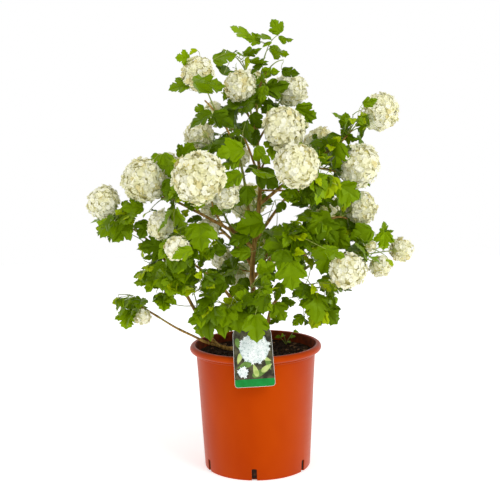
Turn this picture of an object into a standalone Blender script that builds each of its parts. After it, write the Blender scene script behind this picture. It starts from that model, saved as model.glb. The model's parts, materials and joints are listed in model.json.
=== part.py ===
"""A snowball viburnum in its nursery pot, grown by rule from named sizes.

Blender 4.5, metres, +Z up. The origin is the middle of the pot's flat underside, and the
front of the plant faces -Y. Tables are in millimetres and are scaled where they are used.
"""
import math
import random

import bmesh
import bpy
import numpy as np
from mathutils import Matrix, Vector
from mathutils.bvhtree import BVHTree

MM = 0.001
UP = Vector((0, 0, 1))
# Clear space between two pieces that touch, and between a bough's seat and its parent
GAP = 0.3 * MM
SEAT_GAP = 0.36 * MM
SMOOTH_ANGLE = math.radians(38)
# Slack for rounding when a share of a line's length is found
ROUNDING = 1e-9

# Pot: a moulded plastic nursery pot with a rolled rim and drainage slots round its foot
POT_HEIGHT = 198 * MM
POT_FOOT_RADIUS = 85 * MM
POT_WALL_TOP_RADIUS = 95 * MM
POT_WALL = 1.6 * MM
POT_FLOOR = 2.5 * MM
POT_FOOT_ROUNDING = 1.5 * MM
RIM_RADIUS = 105 * MM
RIM_ROLL = 5.6 * MM
RIM_ARC_STEPS = 5
RIM_ARC_START = math.radians(-90)
RIM_ARC_SWEEP = math.radians(200)
POT_SEGMENTS = 36
SLOT_COUNT = 6
SLOT_WIDTH = 6 * MM
SLOT_HEIGHT = 19 * MM
SLOT_DEPTH = 12 * MM
SLOT_FIRST_TURN = math.radians(-94)

# Potting soil: fills the pot to a little under its rim
SOIL_TOP = 178 * MM
SOIL_SIDE_GAP = 0.45 * MM

# Plant tag: a plastic card that leans on the rim, held by a strap looped round the trunk
TAG_WIDTH_TOP = 57 * MM
TAG_WIDTH_FOOT = 61 * MM
TAG_HEIGHT = 94 * MM
TAG_THICKNESS = 1.0 * MM
TAG_CORNER = 5 * MM
TAG_CORNER_STEPS = 3
TAG_MIDDLE_X = -2 * MM
TAG_FOOT_Z = 155 * MM
TAG_LEAN = math.radians(3.5)
TAG_TWIST = math.radians(-2.5)
STRAP_WIDTH = 7 * MM
STRAP_RING_Z = 276 * MM
STRAP_RING_RADIUS = 7.5 * MM
STRAP_RING_WALL = 1.2 * MM
STRAP_RING_SEGMENTS = 12
STRAP_THICKNESS = 1.0 * MM

# Limbs: where each grows from and how far along that, foot and tip radius, then its way
# points. A limb that grows from nothing stands on the soil with a flat cut.
LIMB_SIDES = 6
LIMB_STEP = 28 * MM
ROOT_FLARE = 0.7
ROOT_FLARE_HEIGHT = 9 * MM
ROOT_FLARE_RINGS = (0.15, 0.4)
LIMBS = {
    "trunk": (None, 0, 5.0, 1.9, (
        (0, 4, 178.3), (-1, 3, 215), (-1, 2, 251), (-3, 0, 316), (2, 0, 364),
        (9, 0, 413), (12, 0, 458), (9, 0, 505), (9, 2, 575))),
    "bough_right_high": ("trunk", 0.61, 3.0, 1.8, (
        (24, -4, 431), (51, -10, 453), (100, -14, 489), (128, -14, 508))),
    "bough_left_high": ("trunk", 0.53, 2.6, 1.7, (
        (-6, -6, 409), (-12, -12, 452), (-20, -18, 495), (-34, -26, 530))),
    "bough_left_middle": ("trunk", 0.43, 2.9, 1.8, (
        (-20, -14, 371), (-58, -28, 396), (-98, -34, 419), (-122, -36, 432))),
    "bough_left_low": ("trunk", 0.13, 3.0, 1.8, (
        (-16, -10, 244), (-33, -22, 269), (-58, -34, 304), (-86, -46, 328))),
    "bough_left_foot": ("trunk", 0.045, 3.5, 1.9, (
        (-22, -4, 192), (-42, -12, 192), (-60, -22, 201), (-76, -32, 223),
        (-92, -38, 257), (-110, -42, 294), (-132, -42, 332), (-150, -38, 356))),
    "bough_left_trailing": ("bough_left_foot", 0.21, 2.3, 1.4, (
        (-74, -36, 207), (-96, -44, 220), (-124, -42, 234), (-150, -38, 250))),
    "bough_right_foot": (None, 0, 3.4, 1.8, (
        (15, -10, 178.3), (17, -13, 215), (24, -17, 250), (46, -24, 290),
        (74, -34, 318), (102, -44, 336))),
    "bough_right_middle": ("trunk", 0.31, 2.9, 1.8, (
        (18, 2, 324), (50, 4, 352), (90, 2, 378), (122, 2, 394))),
    "bough_front": ("trunk", 0.09, 2.4, 1.6, (
        (-12, -14, 229), (-20, -32, 248), (-24, -52, 266))),
    "bough_back_low": ("trunk", 0.17, 2.8, 1.7, (
        (6, 24, 272), (14, 69, 300), (20, 108, 320))),
    "bough_back_left": ("trunk", 0.36, 2.8, 1.7, (
        (-22, 20, 348), (-56, 59, 378), (-90, 87, 404))),
    "bough_back_right": ("trunk", 0.46, 2.8, 1.7, (
        (22, 20, 388), (50, 59, 420), (78, 87, 448))),
    "bough_back_high": ("trunk", 0.68, 2.2, 1.6, (
        (6, 20, 474), (-4, 54, 504), (-14, 74, 530))),
}

# Foliage: the limb each mass grows from and how far along it, how many leafy shoots it has,
# its centre, its reach each way, and its flower balls as x, y, z and diameter.
MASSES = {
    "foliage_top_right": ("trunk", 1.0, 4, (36, -4, 652), (46, 42, 52), ()),
    "foliage_top_left": ("trunk", 0.95, 3, (-14, 10, 650), (42, 42, 46), ()),
    "foliage_upper_middle": ("trunk", 0.89, 2, (-24, -8, 590), (46, 44, 42), (
        (-17, -10, 604, 48),)),
    "foliage_upper_right": ("trunk", 0.85, 2, (62, 28, 585), (46, 46, 46), (
        (64, 30, 598, 53),)),
    "foliage_left_crest": ("bough_left_high", 1.0, 4, (-84, -50, 602), (52, 42, 62), (
        (-78, -60, 620, 50),)),
    "foliage_left_upper": ("bough_left_high", 0.65, 2, (-86, 18, 522), (46, 45, 46), (
        (-84, 30, 530, 45),)),
    "foliage_centre_high": ("trunk", 0.73, 3, (48, -56, 530), (52, 50, 52), (
        (48, -70, 538, 64),)),
    "foliage_centre_front": ("trunk", 0.665, 3, (66, -96, 474), (50, 52, 48), (
        (63, -120, 484, 66),)),
    "foliage_right_crest": ("bough_right_high", 1.0, 3, (166, -4, 542), (62, 50, 54), (
        (202, 10, 560, 59),)),
    "foliage_right_upper": ("bough_right_high", 0.62, 3, (146, -36, 468), (54, 48, 48), (
        (164, -40, 479, 64),)),
    "foliage_right_middle": ("bough_right_middle", 1.0, 4, (166, 10, 396), (62, 55, 48), (
        (172, 20, 409, 51),)),
    "foliage_right_outer": ("bough_right_foot", 1.0, 3, (170, -36, 334), (82, 62, 46), (
        (138, -91, 326, 55), (197, -20, 321, 34), (235, 10, 342, 38), (192, 77, 343, 24))),
    "foliage_right_skirt": ("bough_right_foot", 0.72, 3, (98, -54, 282), (52, 46, 42), ()),
    "foliage_centre_right": ("bough_right_middle", 0.35, 3, (58, -58, 362), (54, 46, 48), ()),
    "foliage_left_outer": ("bough_left_foot", 1.0, 3, (-204, -26, 402), (56, 46, 52), (
        (-231, -20, 428, 53), (-216, 40, 386, 32))),
    "foliage_left_high": ("bough_left_middle", 1.0, 3, (-156, -30, 448), (50, 48, 46), (
        (-165, -45, 464, 69),)),
    "foliage_left_front": ("bough_left_middle", 0.42, 3, (-70, -105, 462), (60, 54, 56), (
        (-77, -148, 471, 75), (-40, -85, 441, 39))),
    "foliage_left_inner": ("bough_left_middle", 0.25, 2, (-50, 8, 404), (48, 45, 42), (
        (-64, 20, 419, 41), (-71, -10, 385, 34))),
    "foliage_left_middle": ("bough_left_low", 1.0, 2, (-120, -89, 382), (52, 54, 46), (
        (-137, -85, 399, 42), (-111, -131, 369, 35))),
    "foliage_left_lower": ("bough_left_foot", 0.80, 3, (-152, -50, 322), (48, 45, 44), ()),
    "foliage_left_skirt": ("bough_left_low", 0.72, 3, (-88, -62, 296), (50, 44, 42), ()),
    "foliage_left_trailing": ("bough_left_trailing", 1.0, 3, (-194, -30, 276), (42, 36, 36), (
        (-172, -56, 254, 23),)),
    "foliage_front_left": ("bough_front", 1.0, 3, (-62, -89, 270), (50, 42, 36), ()),
    "foliage_front": ("bough_front", 0.60, 3, (10, -89, 294), (48, 44, 46), ()),
    "foliage_back_low_left": ("bough_back_low", 0.60, 2, (-40, 100, 306), (50, 50, 42), (
        (-54, 77, 326, 36), (-22, 122, 289, 43))),
    "foliage_back_high": ("bough_back_high", 1.0, 3, (-42, 105, 540), (50, 48, 55), (
        (-20, 115, 492, 33), (-62, 90, 571, 26))),
    "foliage_back_top": ("trunk", 0.80, 2, (-6, 92, 598), (48, 44, 48), (
        (4, 123, 612, 50),)),
    "foliage_back_right_high": ("bough_back_right", 1.0, 3, (108, 123, 486), (60, 54, 54), (
        (118, 143, 508, 60), (80, 164, 452, 50))),
    "foliage_back_right": ("bough_right_middle", 0.60, 2, (118, 105, 386), (56, 50, 48), (
        (124, 146, 392, 58),)),
    "foliage_back_left_high": ("bough_back_left", 1.0, 3, (-128, 118, 446), (60, 54, 54), (
        (-146, 138, 470, 62), (-98, 164, 430, 48))),
    "foliage_back_left": ("bough_back_left", 0.55, 2, (-112, 108, 346), (56, 50, 46), (
        (-124, 143, 350, 54),)),
    "foliage_back_centre": ("trunk", 0.50, 3, (-6, 128, 402), (52, 54, 50), (
        (-8, 174, 412, 64),)),
    "foliage_back_low": ("bough_back_low", 1.0, 2, (38, 159, 330), (56, 50, 46), (
        (40, 192, 330, 55),)),
    "foliage_right_back_low": ("bough_right_middle", 0.48, 2, (112, 64, 302), (54, 48, 44), ()),
}

# Twigs: a stem runs part of the way from its limb to the mass's centre, and shoots leave its
# outer part for the flower balls and for places in the mass's reach.
STEM_RADIUS = 2.2 * MM
STEM_TIP_RADIUS = 1.8 * MM
STEM_PARTS = 3
STEM_SHARE = 0.72
STEM_LEAN = 0.5
STEM_PULL = 0.45
SHOOT_FOOT_RADIUS = 1.4 * MM
SHOOT_TIP_RADIUS = 1.3 * MM
SHOOT_PARTS = 2
SHOOT_REACH = 0.62
SHOOT_AHEAD = 0.24
SHOOT_RISE = 0.18
SHOOT_SWAY = 0.1
SHOOT_BEND_AT = 0.45
BALL_SHOOTS_FROM = 0.6
BALL_SHOOTS_OVER = 0.35
LEAFY_SHOOTS_FROM = 0.5
LEAFY_SHOOTS_OVER = 0.5
TWIG_SIDES = 3

# Where the place first tried isn't clear: how often to try on, and how far each try moves
BEND_TRIES = 18
BEND_MORE = 0.035
END_STEPS = 3
END_SINK = 0.3
END_TURN = 0.29
END_OUTWARD = 0.45
GOLDEN_TURN = math.pi * (3 - math.sqrt(5))
TWIG_CLEARANCE = 1.2 * MM
SAMPLE_STEP = 3 * MM

# Leaves stand in opposite pairs at shares of their shoot's length; the last pair is young
LEAFY_NODES = (0.58, 0.96)
BALL_NODES = (0.55,)
YOUNG_FROM = 0.9
YOUNG_SPREAD = 0.55
YOUNG_LIFT = 0.35
LEAF_SPREAD = (0.8, 1.3)
LEAF_HANG = (0.25, 1.0)
LEAF_AHEAD = 0.4
LEAF_OUTWARD = 0.25
LEAF_FACE_UP = (0.3, 0.8)
LEAF_FACE_OUT = (0.8, 1.4)
LEAF_FACE_WILD = 0.35
LEAF_SPACE = 1.12
LEAF_TIP_SPACE = 1.51
LEAF_SPACE_SHARED = 0.22
LEAF_CLEARANCE = 0.8 * MM
LEAF_RIM_CLEARANCE = 10 * MM

# Flower balls
BALL_FLATTENING = 0.93
LARGE_BALL_RADIUS = 27.5 * MM

# Leaf: a bent three-lobed blade as seen from above, in shares of its length
LEAF_LENGTHS = (46 * MM, 60 * MM)
YOUNG_LEAF = 0.74
LEAF_OUTLINE = ((0, 0), (0.46, 0.60), (0.17, 0.66), (0, 1), (-0.17, 0.66), (-0.46, 0.60))
LEAF_MIDDLE = 0.28
LEAF_THICKNESS = 0.045
LEAF_DROOP = 0.16
LEAF_ROOT_SUNK = 0.3 * MM
# The share of a blade by its root that may lie over another leaf's
LEAF_ROOT_SHARED = 0.35
# Points nearer than this count as touching
WELD = 0.0002 * MM


def material(name, colour, roughness, metallic=0.0):
    """A plain Principled material; the colour is linear red, green and blue."""
    made = bpy.data.materials.new(name)
    made.use_nodes = True
    shader = made.node_tree.nodes["Principled BSDF"]
    shader.inputs["Base Color"].default_value = (*colour, 1)
    shader.inputs["Roughness"].default_value = roughness
    shader.inputs["Metallic"].default_value = metallic
    made.diffuse_color = (*colour, 1)
    return made


def finish(bm, name, *surfaces, smooth_angle=None, slot=0):
    """Turn a bmesh into a named object with outward faces, all in one of its material slots."""
    bmesh.ops.recalc_face_normals(bm, faces=bm.faces)
    for face in bm.faces:
        face.material_index = slot
    mesh = bpy.data.meshes.new(name)
    bm.to_mesh(mesh)
    bm.free()
    for surface in surfaces:
        mesh.materials.append(surface)
    if smooth_angle:
        mesh.shade_smooth()
        mesh.set_sharp_from_angle(angle=smooth_angle)
    made = bpy.data.objects.new(name, mesh)
    bpy.context.scene.collection.objects.link(made)
    return made


def as_cutter(thing):
    """Mark an object that only shapes others."""
    thing.hide_render = True
    thing.display_type = "WIRE"
    return thing


def cut(thing, cutter):
    """Take one object's shape away from another with a live modifier."""
    boolean = thing.modifiers.new("cut by " + cutter.name, "BOOLEAN")
    boolean.operation = "DIFFERENCE"
    boolean.object = cutter


def apply_modifiers(thing):
    """Keep an object's shape as its modifiers make it."""
    graph = bpy.context.evaluated_depsgraph_get()
    mesh = bpy.data.meshes.new_from_object(thing.evaluated_get(graph))
    thing.modifiers.clear()
    thing.data = mesh


def smooth_line(points, step):
    """Points about a step apart on the Catmull-Rom curve through the given ones."""
    ends = [2 * points[0] - points[1], *points, 2 * points[-1] - points[-2]]
    line = [points[0]]
    for a, b, c, d in zip(ends, ends[1:], ends[2:], ends[3:]):
        parts = max(1, round((c - b).length / step))
        for part in range(1, parts + 1):
            t = part / parts
            straight = 2 * b + (c - a) * t
            square = (2 * a - 5 * b + 4 * c - d) * t ** 2
            cube = (3 * b - a - 3 * c + d) * t ** 3
            line.append(0.5 * (straight + square + cube))
    return line


def bend_line(start, control, end, parts):
    """Points on the bent line from start to end that is pulled towards a control point."""
    shares = [part / parts for part in range(parts + 1)]
    return [(1 - t) ** 2 * start + 2 * t * (1 - t) * control + t ** 2 * end for t in shares]


def along(line, share):
    """The point at a share of a line's length, and the line's direction there."""
    lengths = [(b - a).length for a, b in zip(line, line[1:])]
    left = share * sum(lengths)
    for a, b, length in zip(line, line[1:], lengths):
        if left <= length + ROUNDING:
            break
        left -= length
    direction = (b - a).normalized()
    return a + direction * min(left, length), direction


def taper(foot, tip, count):
    """Radii that fall evenly from foot to tip."""
    return [foot + (tip - foot) * i / (count - 1) for i in range(count)]


def tube(line, radii, sides, first_direction=None, grow=0.0):
    """A closed tube along a line: a ring of vertices at each point, bridged and capped."""
    directions = [(b - a).normalized() for a, b in zip(line, line[1:])]
    middle = [(a + b).normalized() for a, b in zip(directions, directions[1:])]
    directions = [first_direction or directions[0], *middle, directions[-1]]
    bm = bmesh.new()
    rings = []
    turn = UP.rotation_difference(directions[0])
    before = directions[0]
    for point, direction, radius in zip(line, directions, radii):
        turn = before.rotation_difference(direction) @ turn
        before = direction
        place = Matrix.Translation(point) @ turn.to_matrix().to_4x4()
        made = bmesh.ops.create_circle(bm, segments=sides, radius=radius + grow, matrix=place)
        rings.append(list({edge for vert in made["verts"] for edge in vert.link_edges}))
    for ring, following in zip(rings, rings[1:]):
        bmesh.ops.bridge_loops(bm, edges=ring + following)
    bmesh.ops.contextual_create(bm, geom=rings[0])
    bmesh.ops.contextual_create(bm, geom=rings[-1])
    return bm


def grow_limbs():
    """The lines and radii of the trunk and boughs, each from a point on its parent."""
    limbs = {}
    for name, (parent, share, foot, tip, way) in LIMBS.items():
        points = [Vector(point) * MM for point in way]
        if parent:
            points.insert(0, along(limbs[parent]["line"], share)[0])
        line = smooth_line(points, LIMB_STEP)
        radii = taper(foot * MM, tip * MM, len(line))
        if not parent:
            line[1:1] = [line[0].lerp(line[1], share) for share in ROOT_FLARE_RINGS]
            radii[1:1] = [radii[0]] * len(ROOT_FLARE_RINGS)
            flare = [math.exp((line[0].z - point.z) / ROOT_FLARE_HEIGHT) for point in line]
            radii = [radius * (1 + ROOT_FLARE * more) for radius, more in zip(radii, flare)]
        limbs[name] = {"line": line, "radii": radii, "parent": parent}
    return limbs


class Space:
    """Round samples of everything that has grown, each with its owner."""

    def __init__(self):
        self.points = np.zeros((0, 3))
        self.radii = np.zeros(0)
        self.owners = np.zeros(0, dtype=object)

    def add(self, owner, points, radii):
        """Note what an owner has grown."""
        self.points = np.vstack([self.points, np.array([tuple(point) for point in points])])
        self.radii = np.concatenate([self.radii, radii])
        self.owners = np.concatenate([self.owners, [owner] * len(points)])

    def is_clear(self, points, radius, ignored):
        """Whether points with a radius round them touch nothing but the ignored owners."""
        others = ~np.isin(self.owners, list(ignored))
        here = np.array([tuple(point) for point in points])
        away = np.linalg.norm(here[:, None, :] - self.points[None, others, :], axis=2)
        return bool((away - self.radii[others] - radius).min() > 0)


def sampled(line, radii):
    """Samples along a tapered line, close enough together to feel another one cross."""
    points = []
    sizes = []
    for a, b, near, far in zip(line, line[1:], radii, radii[1:]):
        parts = max(1, math.ceil((b - a).length / SAMPLE_STEP))
        for part in range(parts + 1):
            points.append(a.lerp(b, part / parts))
            sizes.append(near + (far - near) * part / parts)
    return points, sizes


def outward(point):
    """The level direction away from the crown's axis."""
    level = Vector((point.x, point.y, 0))
    return level.normalized() if level.length > MM else Vector((0, -1, 0))


def grow_stem(mass, limbs, space):
    """The stem of a mass, from its limb's tip or side towards the mass's centre."""
    limb_name, share, _, centre, _, _ = MASSES[mass]
    limb = limbs[limb_name]
    start, direction = along(limb["line"], share)
    end = start.lerp(Vector(centre) * MM, STEM_SHARE)
    length = (end - start).length
    at_tip = share == 1.0
    lean = direction
    if at_tip:
        start = start + direction * GAP
    else:
        lean = ((end - start).normalized() + STEM_LEAN * direction).normalized()
    foot = limb["radii"][-1] if at_tip else STEM_RADIUS
    rng = random.Random(mass)
    for attempt in range(BEND_TRIES):
        wild = Vector([rng.uniform(-1, 1) for _ in range(3)]) * BEND_MORE * attempt * length
        control = start + lean * STEM_PULL * length + (Vector() if at_tip else wild)
        line = bend_line(start, control, end + wild, STEM_PARTS)
        radii = taper(foot, STEM_TIP_RADIUS, len(line))
        points, sizes = sampled(line, radii)
        if space.is_clear(points, np.array(sizes)[:, None] + TWIG_CLEARANCE, {limb_name}):
            break
    else:
        print("no clear way for the stem of", mass)
    return {"line": line, "radii": radii, "first": direction if at_tip else None}


def grow_shoot(key, stem, start_share, ends, space, ignored):
    """A shoot from the stem to the first of the ends, and by the first bend, that is clear."""
    rng = random.Random(key)
    start, direction = along(stem["line"], start_share)
    for attempt, end in enumerate(ends):
        length = (end - start).length
        wild = Vector([rng.uniform(-1, 1) for _ in range(3)])
        sway = (SHOOT_SWAY + BEND_MORE * attempt) * wild
        pull = SHOOT_AHEAD * direction + SHOOT_RISE * UP + sway
        control = start.lerp(end, SHOOT_BEND_AT) + pull * length
        line = bend_line(start, control, end, SHOOT_PARTS)
        radii = taper(SHOOT_FOOT_RADIUS, SHOOT_TIP_RADIUS, len(line))
        points, sizes = sampled(line, radii)
        if space.is_clear(points, np.array(sizes)[:, None] + TWIG_CLEARANCE, ignored):
            return {"line": line, "radii": radii, "first": None}
    print("no clear way to", key)
    return None


def shoot_ends(mass, number):
    """Where a leafy shoot may end: its own place in the mass's reach, then others round it."""
    _, _, shoots, centre, reach, _ = MASSES[mass]
    middle = Vector(centre) * MM
    spin = random.Random(mass).uniform(0, math.tau)
    for attempt in range(BEND_TRIES):
        sunk = number + 0.5 + END_SINK * (attempt % END_STEPS)
        height = 1 - 2 * sunk / (shoots + END_SINK * (END_STEPS - 1))
        level = math.sqrt(1 - height ** 2)
        turn = spin + (number + END_TURN * attempt) * GOLDEN_TURN
        way = Vector((level * math.cos(turn), level * math.sin(turn), height))
        way = (way + END_OUTWARD * outward(middle)).normalized()
        yield middle + Vector([w * r * MM * SHOOT_REACH for w, r in zip(way, reach)])


def leaf_pairs(key, shoot, nodes):
    """Opposite pairs of leaves at the nodes of a shoot, each pair turned across the last."""
    rng = random.Random(key)
    leaves = []
    across = None
    for number, share in enumerate(nodes):
        root, axis = along(shoot["line"], share)
        wild = Vector([rng.uniform(-1, 1) for _ in range(3)])
        across = axis.cross(across or wild).normalized()
        young = share > YOUNG_FROM
        away = outward(root)
        for side in (-1, 1):
            width = rng.uniform(*LEAF_SPREAD) * (YOUNG_SPREAD if young else 1.0)
            hang = rng.uniform(*LEAF_HANG) - (YOUNG_LIFT if young else 0.0)
            out = side * across * width + axis * LEAF_AHEAD + away * LEAF_OUTWARD - UP * hang
            length = rng.uniform(*LEAF_LENGTHS) * (YOUNG_LEAF if young else 1.0)
            face = UP * rng.uniform(*LEAF_FACE_UP) + away * rng.uniform(*LEAF_FACE_OUT)
            face += LEAF_FACE_WILD * Vector([rng.uniform(-1, 1) for _ in range(3)])
            leaves.append(leaf_place(root, out.normalized(), face, length))
    return leaves


def leaf_place(root, out, face, length):
    """A leaf's matrix: its length runs along y and its upper side faces z."""
    side = out.cross(face).normalized()
    normal = side.cross(out).normalized()
    turn = Matrix((side, out, normal)).transposed().to_4x4()
    return Matrix.Translation(root - out * LEAF_ROOT_SUNK) @ turn @ Matrix.Scale(length, 4)


def grow_masses(limbs):
    """The stems, shoots, flower balls and leaf places of every mass of foliage."""
    space = Space()
    for name, limb in limbs.items():
        space.add(name, *sampled(limb["line"], limb["radii"]))
    for mass, (_, _, _, _, _, balls) in MASSES.items():
        for number, (*middle, across) in enumerate(balls):
            space.add(f"{mass} ball {number}", [Vector(middle) * MM], [across / 2 * MM])
    grown = {}
    for mass in MASSES:
        stem = grow_stem(mass, limbs, space)
        grown[mass] = {"twigs": [stem], "balls": [], "leaves": []}
        space.add(mass, *sampled(stem["line"], stem["radii"]))
    for mass, (_, _, shoots, _, _, balls) in MASSES.items():
        plant = grown[mass]
        stem = plant["twigs"][0]
        for number, (*place, across) in enumerate(balls):
            key = f"{mass} ball {number}"
            end = Vector(place) * MM
            start_share = BALL_SHOOTS_FROM + BALL_SHOOTS_OVER * number / len(balls)
            ends = [end] * BEND_TRIES
            shoot = grow_shoot(key, stem, start_share, ends, space, {mass, key})
            if shoot:
                stalk = shoot["line"][-1] - shoot["line"][-2]
                plant["balls"].append((end, across / 2 * MM, stalk))
                add_shoot(mass, plant, shoot, BALL_NODES, key, space)
        for number in range(shoots):
            key = f"{mass} shoot {number}"
            start_share = LEAFY_SHOOTS_FROM + LEAFY_SHOOTS_OVER * (number + 0.5) / shoots
            shoot = grow_shoot(key, stem, start_share, shoot_ends(mass, number), space, {mass})
            if shoot:
                add_shoot(mass, plant, shoot, LEAFY_NODES, key, space)
    blades = []
    for mass, plant in grown.items():
        kept = []
        for leaf in plant["leaves"]:
            blade = leaf_blade(leaf)
            crossed = any(blade.overlap(other) for other in blades)
            if not crossed and leaf_has_room(mass, leaf, space):
                kept.append(leaf)
                blades.append(blade)
        plant["leaves"] = kept
    return grown


def add_shoot(mass, plant, shoot, nodes, key, space):
    """Note a grown shoot and its pairs of leaves."""
    plant["twigs"].append(shoot)
    plant["leaves"] += leaf_pairs(key + " leaves", shoot, nodes)
    space.add(mass, *sampled(shoot["line"], shoot["radii"]))


def spread(mass, point):
    """How far out in a mass a point lies, as a share of the mass's reach."""
    _, _, _, centre, reach, _ = MASSES[mass]
    return math.hypot(*((p / MM - c) / r for p, c, r in zip(point, centre, reach)))


def leaf_blade(leaf):
    """A search tree of a leaf's blade without the part by its root."""
    rim = [leaf @ Vector((x, y, -LEAF_DROOP * y ** 2)) for x, y in LEAF_OUTLINE]
    middle = leaf @ Vector((0, LEAF_MIDDLE, 0))
    rim[0] = rim[0].lerp(middle, LEAF_ROOT_SHARED)
    fan = [(0, 1 + i, 1 + (i + 1) % len(rim)) for i in range(len(rim))]
    return BVHTree.FromPolygons([middle, *rim], fan)


def leaf_samples(leaf):
    """Points spread over a leaf's blade."""
    middle = Vector((0, LEAF_MIDDLE, 0))
    rim = [Vector((x, y, -LEAF_DROOP * y ** 2)) for x, y in LEAF_OUTLINE]
    points = [middle]
    for a, b in zip(rim, rim[1:] + rim[:1]):
        points += [a.lerp(b, 0.5), a.lerp(middle, 0.5), (a + b + middle) / 3]
    return [leaf @ point for point in points + rim[1:]]


def leaf_has_room(mass, leaf, space):
    """Whether a leaf stays in its mass's own space, clear of limbs, twigs and flower balls."""
    middle = leaf @ Vector((0, LEAF_MIDDLE, 0))
    tip = leaf @ Vector((0, 1, 0))
    own = spread(mass, middle)
    if own > LEAF_SPACE or spread(mass, tip) > LEAF_TIP_SPACE:
        return False
    if own > LEAF_SPACE_SHARED + min(spread(other, middle) for other in MASSES):
        return False
    if tip.z < POT_HEIGHT and tip.xy.length < RIM_RADIUS + LEAF_RIM_CLEARANCE:
        return False
    return space.is_clear(leaf_samples(leaf), LEAF_CLEARANCE, {mass})


def make_leaf(leaf, surfaces):
    """A closed blade: a six-sided double cone pressed to the leaf's outline."""
    bm = bmesh.new()
    made = bmesh.ops.create_uvsphere(bm, u_segments=6, v_segments=2, radius=1)
    for vert in made["verts"]:
        if abs(vert.co.z) > 0.5:
            lift = math.copysign(LEAF_THICKNESS / 2, vert.co.z)
            vert.co = (0, LEAF_MIDDLE, lift)
        else:
            step = round(math.atan2(vert.co.x, -vert.co.y) / (math.tau / 6)) % 6
            x, y = LEAF_OUTLINE[step]
            vert.co = (x, y, -LEAF_DROOP * y ** 2)
    bmesh.ops.transform(bm, matrix=leaf, verts=bm.verts)
    return finish(bm, "leaf", *surfaces)


def make_ball(middle, radius, axis, surfaces):
    """A flower ball, a little flattened along its stalk; smaller ones have fewer faces."""
    bm = bmesh.new()
    turn = UP.rotation_difference(axis).to_matrix().to_4x4()
    shape = Matrix.Diagonal((radius, radius, radius * BALL_FLATTENING, 1))
    place = Matrix.Translation(middle) @ turn @ shape
    if radius > LARGE_BALL_RADIUS:
        bmesh.ops.create_icosphere(bm, subdivisions=2, radius=1, matrix=place)
    else:
        bmesh.ops.create_uvsphere(bm, u_segments=6, v_segments=4, radius=1, matrix=place)
    return finish(bm, "flower ball", *surfaces, slot=1)


def search_tree(thing):
    """A tree of an object's faces, for finding where two surfaces meet."""
    bm = bmesh.new()
    bm.from_mesh(thing.data)
    tree = BVHTree.FromBMesh(bm)
    bm.free()
    return tree


def join_mass(name, pieces):
    """Fuse a mass's twigs, balls and leaves with a single union, less a leaf if it won't close."""
    group = bpy.data.collections.new("pieces of " + name)
    bpy.context.scene.collection.children.link(group)
    for piece in pieces[1:]:
        bpy.context.scene.collection.objects.unlink(piece)
        group.objects.link(piece)
    dropped = 0
    mass = None
    while not mass:
        for solver in ("EXACT", "MANIFOLD"):
            mass = pieces[0].copy()
            bpy.context.scene.collection.objects.link(mass)
            union = mass.modifiers.new("union", "BOOLEAN")
            union.operation = "UNION"
            union.operand_type = "COLLECTION"
            union.collection = group
            union.solver = solver
            apply_modifiers(mass)
            if is_closed(mass):
                break
            bpy.data.objects.remove(mass)
            mass = None
        if not mass:
            dropped += 1
            group.objects.unlink(pieces[-dropped])
    for piece in pieces:
        bpy.data.objects.remove(piece)
    bpy.data.collections.remove(group)
    mass.name = name
    mass.data.name = name
    return mass


def is_closed(thing):
    """Whether every edge has two faces, also once points that all but touch are welded."""
    bm = bmesh.new()
    bm.from_mesh(thing.data)
    bmesh.ops.triangulate(bm, faces=bm.faces)
    bmesh.ops.remove_doubles(bm, verts=bm.verts, dist=WELD)
    closed = all(len(edge.link_faces) == 2 for edge in bm.edges)
    bm.free()
    return closed


def clean_mass(thing):
    """Keep the largest shell: loose scraps and sealed hollows are shells of their own."""
    bm = bmesh.new()
    bm.from_mesh(thing.data)
    left = set(bm.faces)
    shells = []
    while left:
        shell = set()
        front = [left.pop()]
        while front:
            face = front.pop()
            shell.add(face)
            near = {other for edge in face.edges for other in edge.link_faces} & left
            left -= near
            front += near
        shells.append(shell)
    biggest = max(shells, key=len)
    loose = [face for shell in shells if shell is not biggest for face in shell]
    bmesh.ops.delete(bm, geom=loose, context="FACES")
    bm.to_mesh(thing.data)
    bm.free()


def build_limbs(limbs, bark):
    """The trunk and boughs; a bough's foot is hollowed to sit round its parent."""
    cutters = {}
    for name, limb in limbs.items():
        first = None if limb["parent"] else UP
        bm = tube(limb["line"], limb["radii"], LIMB_SIDES, first)
        made = finish(bm, name, bark, smooth_angle=SMOOTH_ANGLE)
        bm = tube(limb["line"], limb["radii"], LIMB_SIDES, first, grow=SEAT_GAP)
        cutters[name] = as_cutter(finish(bm, name + " seat", bark))
        if limb["parent"]:
            cut(made, cutters[limb["parent"]])
    return cutters


def build_masses(grown, cutters, obstacles, surfaces):
    """Every mass as one solid; leaves that would meet another mass are left out."""
    trees = dict(obstacles)
    frames = {}
    for name, plant in grown.items():
        twigs = [tube(twig["line"], twig["radii"], TWIG_SIDES, twig["first"])
                 for twig in plant["twigs"]]
        frames[name] = [finish(twig, "twig", *surfaces) for twig in twigs]
        frames[name] += [make_ball(*ball, surfaces) for ball in plant["balls"]]
        trees.update({(name, i): search_tree(piece) for i, piece in enumerate(frames[name])})
    for name, plant in grown.items():
        limb, share, *_ = MASSES[name]
        foreign = [tree for key, tree in trees.items() if key[0] != name]
        leaves = []
        for leaf in plant["leaves"]:
            piece = make_leaf(leaf, surfaces)
            tree = search_tree(piece)
            if any(tree.overlap(other) for other in foreign):
                bpy.data.objects.remove(piece)
            else:
                leaves.append(piece)
                trees[(name, "leaf", len(leaves))] = tree
        mass = join_mass(name, frames[name] + leaves)
        if share < 1.0:
            cut(mass, cutters[limb])
            apply_modifiers(mass)
        clean_mass(mass)


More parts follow.
